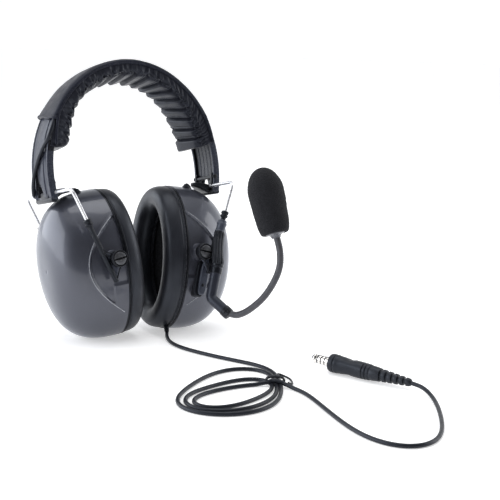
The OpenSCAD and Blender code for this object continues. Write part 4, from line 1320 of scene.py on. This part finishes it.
for s, sn in ((1, "left"), (-1, "right")):
    yk, bd = yoke(s), "yoke_" + sn
    arc_pts = []
    for q in np.linspace(0, 90, 13):
        arc_pts.append((0, -39 - 5*math.sin(rad(q)), -5 + 5*math.cos(rad(q))))
    half = arc_pts + [(0, -44, -60)]
    path = [(p[0], -p[1], p[2]) for p in half[::-1]] + half
    V, F = tube(densify(np.array(path, float), 3.0), 1.3, 20, up=(1.0, 0.05, 0.02))
    make("yoke_wire_" + sn + "_rod", V, F, yk, bd, MATS["steel"], ["yoke_wire_" + sn], "yoke_steel", sharp=60)
    dx, dz = PIV[0] - YOKE_X, PIV[1] - YOKE_Z
    c23, s23 = math.cos(rad(SLOPE)), math.sin(rad(SLOPE))
    ex, ez = dx*c23 - dz*s23, dx*s23 + dz*c23
    for sy, fn in ((-1, "front"), (1, "back")):
        parts = []
        # sleeve with a stepped, ringed head and a closed foot
        prof = [(0, -74.3), (1.5, -74.2), (1.85, -73.7), (1.9, -66), (1.85, -50), (1.85, -29.6), (2.3, -29.2), (2.8, -28.8), (2.9, -27.6), (2.4, -27.3), (2.4, -26.6), (2.9, -26.3), (2.9, -24.9), (2.6, -24.3), (1.6, -24.0), (0, -24.0)]
        V, F = lathe(rounded(prof, 0.2), 36)
        parts.append((V + [0, sy*44, 0], F))
        # fine rib along the sleeve
        V, F = tube(densify(np.array([(0.0, sy*45.8, -73.0), (0.0, sy*45.75, -29.0)]), 2.0), 0.34, 8)
        parts.append((V, F))
        # two curved ribs from the sleeve to the eye, and a thin web between them
        for L in ([(0.3, 45.0, -45.5), (-1.2, 45.3, -49.4), (-3.4, 45.6, -52.6), (-7.0, 45.7, -55.2)], [(-0.5, 45.0, -49.0), (-1.7, 45.2, -53.6), (-3.2, 45.4, -56.2), (-6.6, 45.5, -58.6)], [(0.3, 45.0, -73.6), (-1.8, 45.2, -71.4), (-4.6, 45.5, -68.2), (-7.4, 45.6, -65.6)]):
            L = catmull(np.array(L, float)*[1, sy, 1], 6)
            parts.append(tube(L, 0.5, 12))
        web = [(0.4, -47.0), (-1.2, -50.4), (-3.6, -53.6), (-8.0, -56.4), (-13.0, -58), (-13.4, -62.5), (-11, -65.0), (-7.0, -66.2), (-4.4, -68.8), (-1.8, -71.9), (0.4, -73.2)]
        V, F = prism(web, 42.4, 43.5, "xz")
        V[:, 1] *= sy
        plate = (V, F)
        # eye: a low boss under the screw's ring
        prof = [(0, 41.4), (5.6, 41.4), (6.1, 41.9), (6.3, 43.5), (6.3, 46.1), (6.0, 46.5), (0, 46.5)]
        V, F = lathe(rounded(prof, 0.22), 56)
        V = np.stack([V[:, 0] + ex, sy*V[:, 2], V[:, 1] + ez], 1)
        parts.append((V, F))
        nm = "pivot_arm_%s_%s" % (fn, sn)
        make(nm + "_moulding", *join(parts, ""), yk, "arms_" + sn, MATS["black"], [nm], "black_plastic", sharp=38)
        make(nm + "_web", *plate, yk, "arms_" + sn, MATS["housing"], slot="black_plastic", bevel=0.35, segments=3)
    # screws
    at = cup(s)
    for sy, fn, tilt in ((-1, "front", 5 if s < 0 else -10), (1, "back", 35)):
        # black ring the head sits in
        ring = rounded([(4.2, 46.6), (5.7, 46.6), (6.15, 47.0), (6.2, 47.9), (5.9, 48.4), (5.35, 48.4), (5.1, 47.9), (5.1, 47.2), (4.2, 47.2), (4.2, 46.6)], 0.18)
        V, F = lathe(ring, 64)
        F = [f for f in F if len(f) == 4]
        make("pivot_screw_%s_%s_ring" % (fn, sn), np.stack([V[:, 0] + 8.6, sy*V[:, 2], V[:, 1] + 2.7], 1), F, at, "cup_" + sn, MATS["tie"], ["pivot_screws_" + sn], "screw_black", sharp=45)
        # painted shade: a matte black insert at the bottom of the screw's slot
        V, F = prism([(-4.7, -0.66), (4.7, -0.66), (4.7, 0.66), (-4.7, 0.66)], 47.1, 47.55, "xy")
        ct, st_ = math.cos(rad(tilt)), math.sin(rad(tilt))
        V = np.stack([(V[:, 0]*ct - V[:, 1]*st_)*s + 8.6, sy*V[:, 2], V[:, 0]*st_ + V[:, 1]*ct + 2.7], 1)
        make("pivot_screw_%s_%s_slot" % (fn, sn), V, F, at, "cup_" + sn, MATS["foam"], slot="screw_black", sharp=45)
        prof = [(0, 32), (2.4, 32), (2.4, 45.9), (4.4, 46.9), (4.85, 47.2), (4.9, 48.0), (4.6, 48.55), (3.9, 48.8), (2.2, 48.95), (0, 48.98)]
        V, F = lathe(rounded(prof, 0.3), 64)
        o = make("pivot_screw_%s_%s" % (fn, sn), np.stack([V[:, 0], V[:, 1], V[:, 2]], 1), F, lambda p: np.asarray(p)*1.0, None, MATS["screw"], sharp=40)
        V2, F2 = prism([(-7, -0.66), (7, -0.66), (7, 0.66), (-7, 0.66)], 47.5, 50, "xy")
        c = make("cutter", V2, F2, lambda p: np.asarray(p)*1.0, None, MATS["screw"], smooth=False)
        cut(o, [c])
        W = np.array([v.co[:] for v in o.data.vertices])
        ct, st_ = math.cos(rad(tilt)), math.sin(rad(tilt))
        x, z2 = W[:, 0]*ct - W[:, 1]*st_, W[:, 0]*st_ + W[:, 1]*ct
        W = at(np.stack([x*s + 8.6, sy*W[:, 2], z2 + 2.7], 1))
        o.data.vertices.foreach_set("co", W.astype(np.float32).ravel())
        o.data.update()
        bm = bmesh.new()
        bm.from_mesh(o.data)
        bmesh.ops.remove_doubles(bm, verts=bm.verts, dist=1e-7)
        bmesh.ops.recalc_face_normals(bm, faces=bm.faces)
        bm.to_mesh(o.data)
        bm.free()
        o.data.polygons.foreach_set("use_smooth", [True]*len(o.data.polygons))
        o.data.set_sharp_from_angle(angle=rad(35))
        dress(o, "cup_" + sn, ["pivot_screws_" + sn])

# ------------------------------------------------------------------ boom
BO = lambda z, x=0.0, y=0.0: rot_y([x, y, z], 18)[0] + BOOM_O
ELBOW = np.array([33.4, -53.3, 26.2])
COLLAR = np.array([40.0, -64.0, 14.5])
cdir = (COLLAR - ELBOW)/np.linalg.norm(COLLAR - ELBOW)


def fluted(z0, z1, r, n, amp, steps, taper=0.0, ring=64):
    """A tube with ridges along it, as rings in its own frame."""
    P = []
    for k in range(steps + 1):
        t = k/steps
        z = z0 + (z1 - z0)*t
        edge = min(k, steps - k)
        g = min(edge/2.0, 1.0)
        row = []
        for j in range(ring):
            a = 2*pi*j/ring
            f = 0.5 + 0.5*math.cos(n*a)
            rr = (r - taper*t)*(1 - 0.06*(edge == 0)) - amp*(1 - f**0.6)*g
            row.append((rr*math.cos(a), rr*math.sin(a), z))
        P.append(row)
    return grid(np.array(P))


V, F = fluted(-60.5, -41.6, 3.5, 9, 0.5, 26, taper=-0.1)
parts = [(V + [0, -44, 0], F)]
V, F = lathe(rounded([(0, -62.6), (2.9, -62.5), (3.5, -62.0), (3.6, -60.8), (3.2, -60.4), (0, -60.4)], 0.25), 44)
parts.append((V + [0, -44, 0], F))
make("boom_holder_rail", *join(parts, ""), yoke(1), "arms_left", MATS["black"], ["boom_holder"], "black_plastic", sharp=48)
# clip round the sleeve: a body with two bands
prof = [(0, -41.8), (3.6, -41.7), (4.0, -41.3), (4.0, -40.2), (3.5, -39.9), (3.5, -35.4), (3.85, -35.1), (3.85, -34.0), (3.45, -33.7), (3.3, -31.9), (2.6, -31.4), (0, -31.4)]
V, F = lathe(rounded(prof, 0.25), 44)
make("boom_holder_clip", V + [0, -44, 0], F, yoke(1), "arms_left", MATS["housing"], slot="housing_grey", sharp=42)
# socket that carries the boom, bridged to the rail
V, F = lathe(rounded([(0, 3.9), (4.4, 3.9), (4.75, 4.3), (4.75, 6.0), (4.4, 6.4), (0, 6.4)], 0.25), 44)
make("boom_holder_socket", V, F, boom, "arms_left", MATS["black"], slot="black_plastic", sharp=45)
P = densify(catmull(np.array([(50.9, -44.2, 74.6), (48.9, -45.3, 70.0), (46.7, -47.2, 65.4), (44.5, -49.6, 60.2), (42.9, -51.8, 56.0), BO(8), BO(4.6)]), 8), 0.7)
T = np.gradient(P, axis=0)
T /= np.linalg.norm(T, axis=1)[:, None]
U = np.cross(T, [0, 1.0, 0])
U /= np.linalg.norm(U, axis=1)[:, None]
W = np.cross(T, U)
rows = []
for k in range(len(P)):
    t = k/(len(P) - 1)
    edge = min(k, len(P) - 1 - k)
    row = []
    for j in range(72):
        q = 2*pi*j/72
        f = 0.5 + 0.5*math.cos(11*q)
        rr = (4.15 + 0.35*t)*(0.93 if edge == 0 else 0.98 if edge == 1 else 1.0) - 0.75*(1 - f**0.6)*min(edge/3.0, 1)
        row.append(P[k] + rr*(math.cos(q)*U[k] + math.sin(q)*W[k]))
    rows.append(row)
make("boom_holder_shoe", *grid(np.array(rows)), stand, "arms_left", MATS["black"], slot="black_plastic", sharp=50)
# tube with its elbow
mid = [BO(3.6), BO(-6), BO(-14.5), ELBOW + [0.1, 0, 0], ELBOW + cdir*7, COLLAR - 2.4*cdir]
L = densify(fillet(mid, 5.5, 10), 1.5)
make("boom_tube_body", *tube(L, 4.05, 32, up=(1, 0.1, 0.1)), stand, "mic_boom", MATS["boom"], ["boom_tube"], "black_plastic", sharp=60)
V3, F3 = lathe(rounded([(0, -1.2), (4.3, -1.2), (4.45, -0.7), (4.45, 2.6), (4.2, 3.4), (0, 3.5)], 0.25), 44)
make("boom_caps", V3, F3, boom, "mic_boom", MATS["black"], slot="black_plastic", sharp=45)
# collar: stepped nut at the end of the tube
along = [(-3.4, 4.1), (-3.3, 4.4), (-0.9, 4.45), (-0.85, 3.95), (-0.3, 3.95), (-0.25, 4.5), (1.9, 4.4), (2.5, 3.9), (2.8, 3.2)]
pts, rr = [], []
for (a, r0), (b, r1) in zip(along, along[1:]):
    pts += [COLLAR + cdir*a]
    rr += [r0]
pts.append(COLLAR + cdir*2.7)
rr.append(3.2)
T0 = cdir
U0 = np.cross(T0, [0, 0, 1.0])
U0 /= np.linalg.norm(U0)
W0 = np.cross(T0, U0)
rings = []
for (a, r0) in [(-3.5, 3.0)] + along + [(2.9, 2.3)]:
    rings.append([COLLAR + cdir*a + r0*(math.cos(2*pi*j/40)*U0 + math.sin(2*pi*j/40)*W0) for j in range(40)])
make("boom_collar_nut", *grid(np.array(rings)), stand, "mic_boom", MATS["black"], ["boom_collar"], "black_plastic", sharp=40)

# gooseneck: fine winding under a close sleeve
NECK = [(38.8, -62.0, 16.2), (40.5, -65.2, 14.2), (43.8, -73.0, 12.6), (48, -85, 17), (53, -99, 27), (57, -110.5, 42), (58.1, -113.5, 56), (57, -110.5, 73.5)]
L = resample(catmull(np.array(NECK), 60), 0.30)
R = [2.5 - 0.13*(0.5 + 0.5*math.cos(2*pi*i*0.30/1.2))**1.6 for i in range(len(L))]
V, F = tube(L, R, 22, up=(1, 0.2, 0.1))
neck = make("gooseneck_sleeve", V, F, stand, None, MATS["neck"], ["gooseneck_lower", "gooseneck_upper"], "gooseneck_black", sharp=180)
h = np.array([53, -99, 27.0])
k = int(np.argmin(((L - h)**2).sum(1)))
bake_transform(neck)

# capsule, its glossy collar and the windscreen
# painted highlight: the capsule's lighter grey stands in for its bright collar
V, F = lathe(rounded([(0, -5.6), (3.0, -5.6), (3.5, -5.0), (3.6, -4.2), (4.4, -3.4), (6.4, -2.7), (6.9, -1.9), (6.9, -1.0), (6.6, 0.4), (6.6, 3.0), (6.0, 4.1), (6.4, 5.0), (6.4, 18.6), (5.8, 19.1), (0, 19.1)], 0.3), 48)
make("mic_capsule_body", V, F, mic, "microphone", MATS["capsule"], ["mic_capsule"], "black_plastic", sharp=42)
h, r = 49.0, 13.2
prof = [(0.53, 0.055), (0.56, 0.012), (0.62, 0.0), (0.70, 0.003), (0.765, 0.02), (0.82, 0.058), (0.86, 0.11), (0.90, 0.2), (0.93, 0.3), (0.955, 0.4), (0.98, 0.5)]
prof = [(r*a, h*b) for a, b in prof]
prof += [(r*math.cos(rad(q)), h*0.62 + h*0.38*math.sin(rad(q))) for q in np.linspace(0, 89.2, 30)]
prof = resample(np.array([(a, b, 0) for a, b in prof]), 0.62)[:, :2]
n = 118
rings = []
for a, b in prof:
    row = []
    for j in range(n):
        q = 2*pi*j/n
        p = (a*math.cos(q), a*math.sin(q), b - 2.5)
        e = 0.16*nz((p[0], p[1], p[2]), 1.1) + 0.13*nz((p[0], p[1], p[2] + 50), 2.1) + 0.22*nz((p[0], p[1], p[2] + 90), 0.12)
        k = 1 + e/max(a, 2.5)
        row.append((p[0]*k, p[1]*k, p[2]))
    rings.append(row)
V, F = grid(np.array(rings), cap=(False, True))
# bore wall inside the mouth, so that the foam is a closed body
inner = []
for b in (0.055*h, 0.12*h, 0.3*h, 0.45*h):
    inner.append([(6.75*math.cos(2*pi*j/n), 6.75*math.sin(2*pi*j/n), b - 2.5) for j in range(n)])
iv, iff = grid(np.array(inner), cap=(False, True))
first = [tuple(x) for x in np.array(rings)[0]]
iv[:n] = np.array(first)
ws = make("windscreen_foam", *join([(V, F), (iv, iff)], ""), mic, "microphone", MATS["foam"], ["windscreen"], "acoustic_foam", sharp=180)

# ------------------------------------------------------------------ oblong housing behind the boom


def oblong(w, hgt, depth, n=48, expo=4.0, steps=9, r=1.3):
    rows = []
    for k in range(-1, steps + 1):
        t = max(k, 0)/steps
        a = pi/2*t
        inset = r*(1 - math.cos(a)) if k >= 0 else 0
        y = -depth - r*math.sin(a) if k >= 0 else 0
        row = []
        for j in range(n):
            q = 2*pi*j/n
            c, s_ = math.cos(q), math.sin(q)
            x = (w - inset)*math.copysign(abs(c)**(2/expo), c)
            z = (hgt - inset)*math.copysign(abs(s_)**(2/expo), s_)
            row.append((x, y, z))
        rows.append(row)
    return grid(np.array(rows))


def at_housing(p):
    return stand(rot_y(p, 16) + [36.6, -29.6, 40.4])


V, F = oblong(4.3, 13.9, 7.6, n=64)
make("mic_lead_housing_bracket", V + [-1.5, 0, -0.4], F, at_housing, "cup_left", MATS["black"], slot="black_plastic", sharp=50)
V, F = oblong(3.35, 12.6, 9.6, n=64)
make("mic_lead_housing_case", V, F, at_housing, "cup_left", MATS["housing"], ["mic_lead_housing"], "housing_grey", sharp=50)
V, F = lathe(rounded([(0, 0), (1.25, 0), (1.25, 0.35), (0.9, 0.5), (0, 0.5)], 0.12), 28)
V = np.stack([V[:, 0] - 0.6, -V[:, 2] - 10.75, V[:, 1] - 5.2], 1)
make("mic_lead_housing_pin", V, F, at_housing, "cup_left", MATS["tie"], slot="black_plastic", sharp=45)
# ------------------------------------------------------------------ finishes of the plain CAD parts inside
INSIDE = {"speaker_driver": "driver", "speaker_baffle": "baffle", "cup_foam": "wadding", "terminal_board": "board"}
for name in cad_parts:
    for key, mat in INSIDE.items():
        if name.startswith(key):
            o = bpy.data.objects.get(name)
            o.data.materials.clear()
            o.data.materials.append(MATS[mat])

# ------------------------------------------------------------------ floor and light
fl = bpy.data.meshes.new("floor")
bm = bmesh.new()
S = 40.0
n = 16
verts = [[bm.verts.new((-S + 2*S*i/n, -S + 2*S*j/n, 0)) for j in range(n + 1)] for i in range(n + 1)]
for i in range(n):
    for j in range(n):
        bm.faces.new((verts[i][j], verts[i+1][j], verts[i+1][j+1], verts[i][j+1]))
bm.to_mesh(fl)
bm.free()
floor = link(bpy.data.objects.new("floor", fl))
m = Mat("floor_pale", (0.93, 0.93, 0.935), 0.62, specular=0.2)
m.tint(m.noise(9, 3), 0.012)
m.bump(m.noise(60, 3), 0.0002, 0.15)
m.b.inputs["Emission Color"].default_value = (1, 1, 1, 1)
m.b.inputs["Emission Strength"].default_value = 0.42
fl.materials.append(m.m)

world = bpy.data.worlds.new("studio")
bpy.context.scene.world = world
world.use_nodes = True
wn = world.node_tree.nodes
wl = world.node_tree.links
bg = wn["Background"]
# white studio all round, darker behind the camera
tc = wn.new("ShaderNodeTexCoord")
dot = wn.new("ShaderNodeVectorMath")
dot.operation = "DOT_PRODUCT"
dot.inputs[1].default_value = (-0.14, -0.975, 0.17)
wl.new(tc.outputs["Generated"], dot.inputs[0])
mr = wn.new("ShaderNodeMapRange")
mr.interpolation_type = "SMOOTHSTEP"
for nm, v in (("From Min", 0.25), ("From Max", 0.80), ("To Min", 1.06), ("To Max", 0.12)):
    mr.inputs[nm].default_value = v
wl.new(dot.outputs["Value"], mr.inputs["Value"])
bg.inputs["Color"].default_value = (0.975, 0.985, 1.0, 1)
sep = wn.new("ShaderNodeSeparateXYZ")
wl.new(tc.outputs["Generated"], sep.inputs[0])
up = wn.new("ShaderNodeMapRange")
up.interpolation_type = "SMOOTHSTEP"
for nm, v in (("From Min", 0.25), ("From Max", 0.75), ("To Min", 1.0), ("To Max", 0.42)):
    up.inputs[nm].default_value = v
wl.new(sep.outputs["Z"], up.inputs["Value"])
mul = wn.new("ShaderNodeMath")
mul.operation = "MULTIPLY"
wl.new(mr.outputs["Result"], mul.inputs[0])
wl.new(up.outputs["Result"], mul.inputs[1])
lp = wn.new("ShaderNodeLightPath")
mx = wn.new("ShaderNodeMix")
mx.data_type = "FLOAT"
wl.new(lp.outputs["Is Camera Ray"], mx.inputs[0])
wl.new(mul.outputs[0], mx.inputs[2])
mx.inputs[3].default_value = 1.06
wl.new(mx.outputs[0], bg.inputs["Strength"])


def area(name, loc, target, size, power, size_y=None, color=(1, 1, 1)):
    d = bpy.data.lights.new(name, "AREA")
    d.shape = "RECTANGLE"
    d.size = size
    d.size_y = size_y or size
    d.energy = power
    d.color = color
    o = link(bpy.data.objects.new(name, d))
    o.location = loc
    v = Vector(target) - Vector(loc)
    o.rotation_euler = v.to_track_quat("-Z", "Y").to_euler()
    return o


area("key", (-1.42, 0.80, 0.62), (0, 0, 0.12), 2.6, 34, 1.6, (0.93, 0.96, 1.0))
area("top", (0.1, 0.2, 1.5), (0, 0, 0.1), 1.3, 7, 0.9)
area("side", (1.3, -0.4, 0.6), (0, 0, 0.1), 0.7, 5, 0.9)
sd = bpy.data.lights.new("overhead", "SUN")
sd.energy = 0.45
sd.angle = rad(70)
sun = link(bpy.data.objects.new("overhead", sd))
sun.location = (0, 0, 2)

sc = bpy.context.scene
sc.view_settings.view_transform = "Standard"
sc.view_settings.look = "None"
sc.view_settings.exposure = 0.0
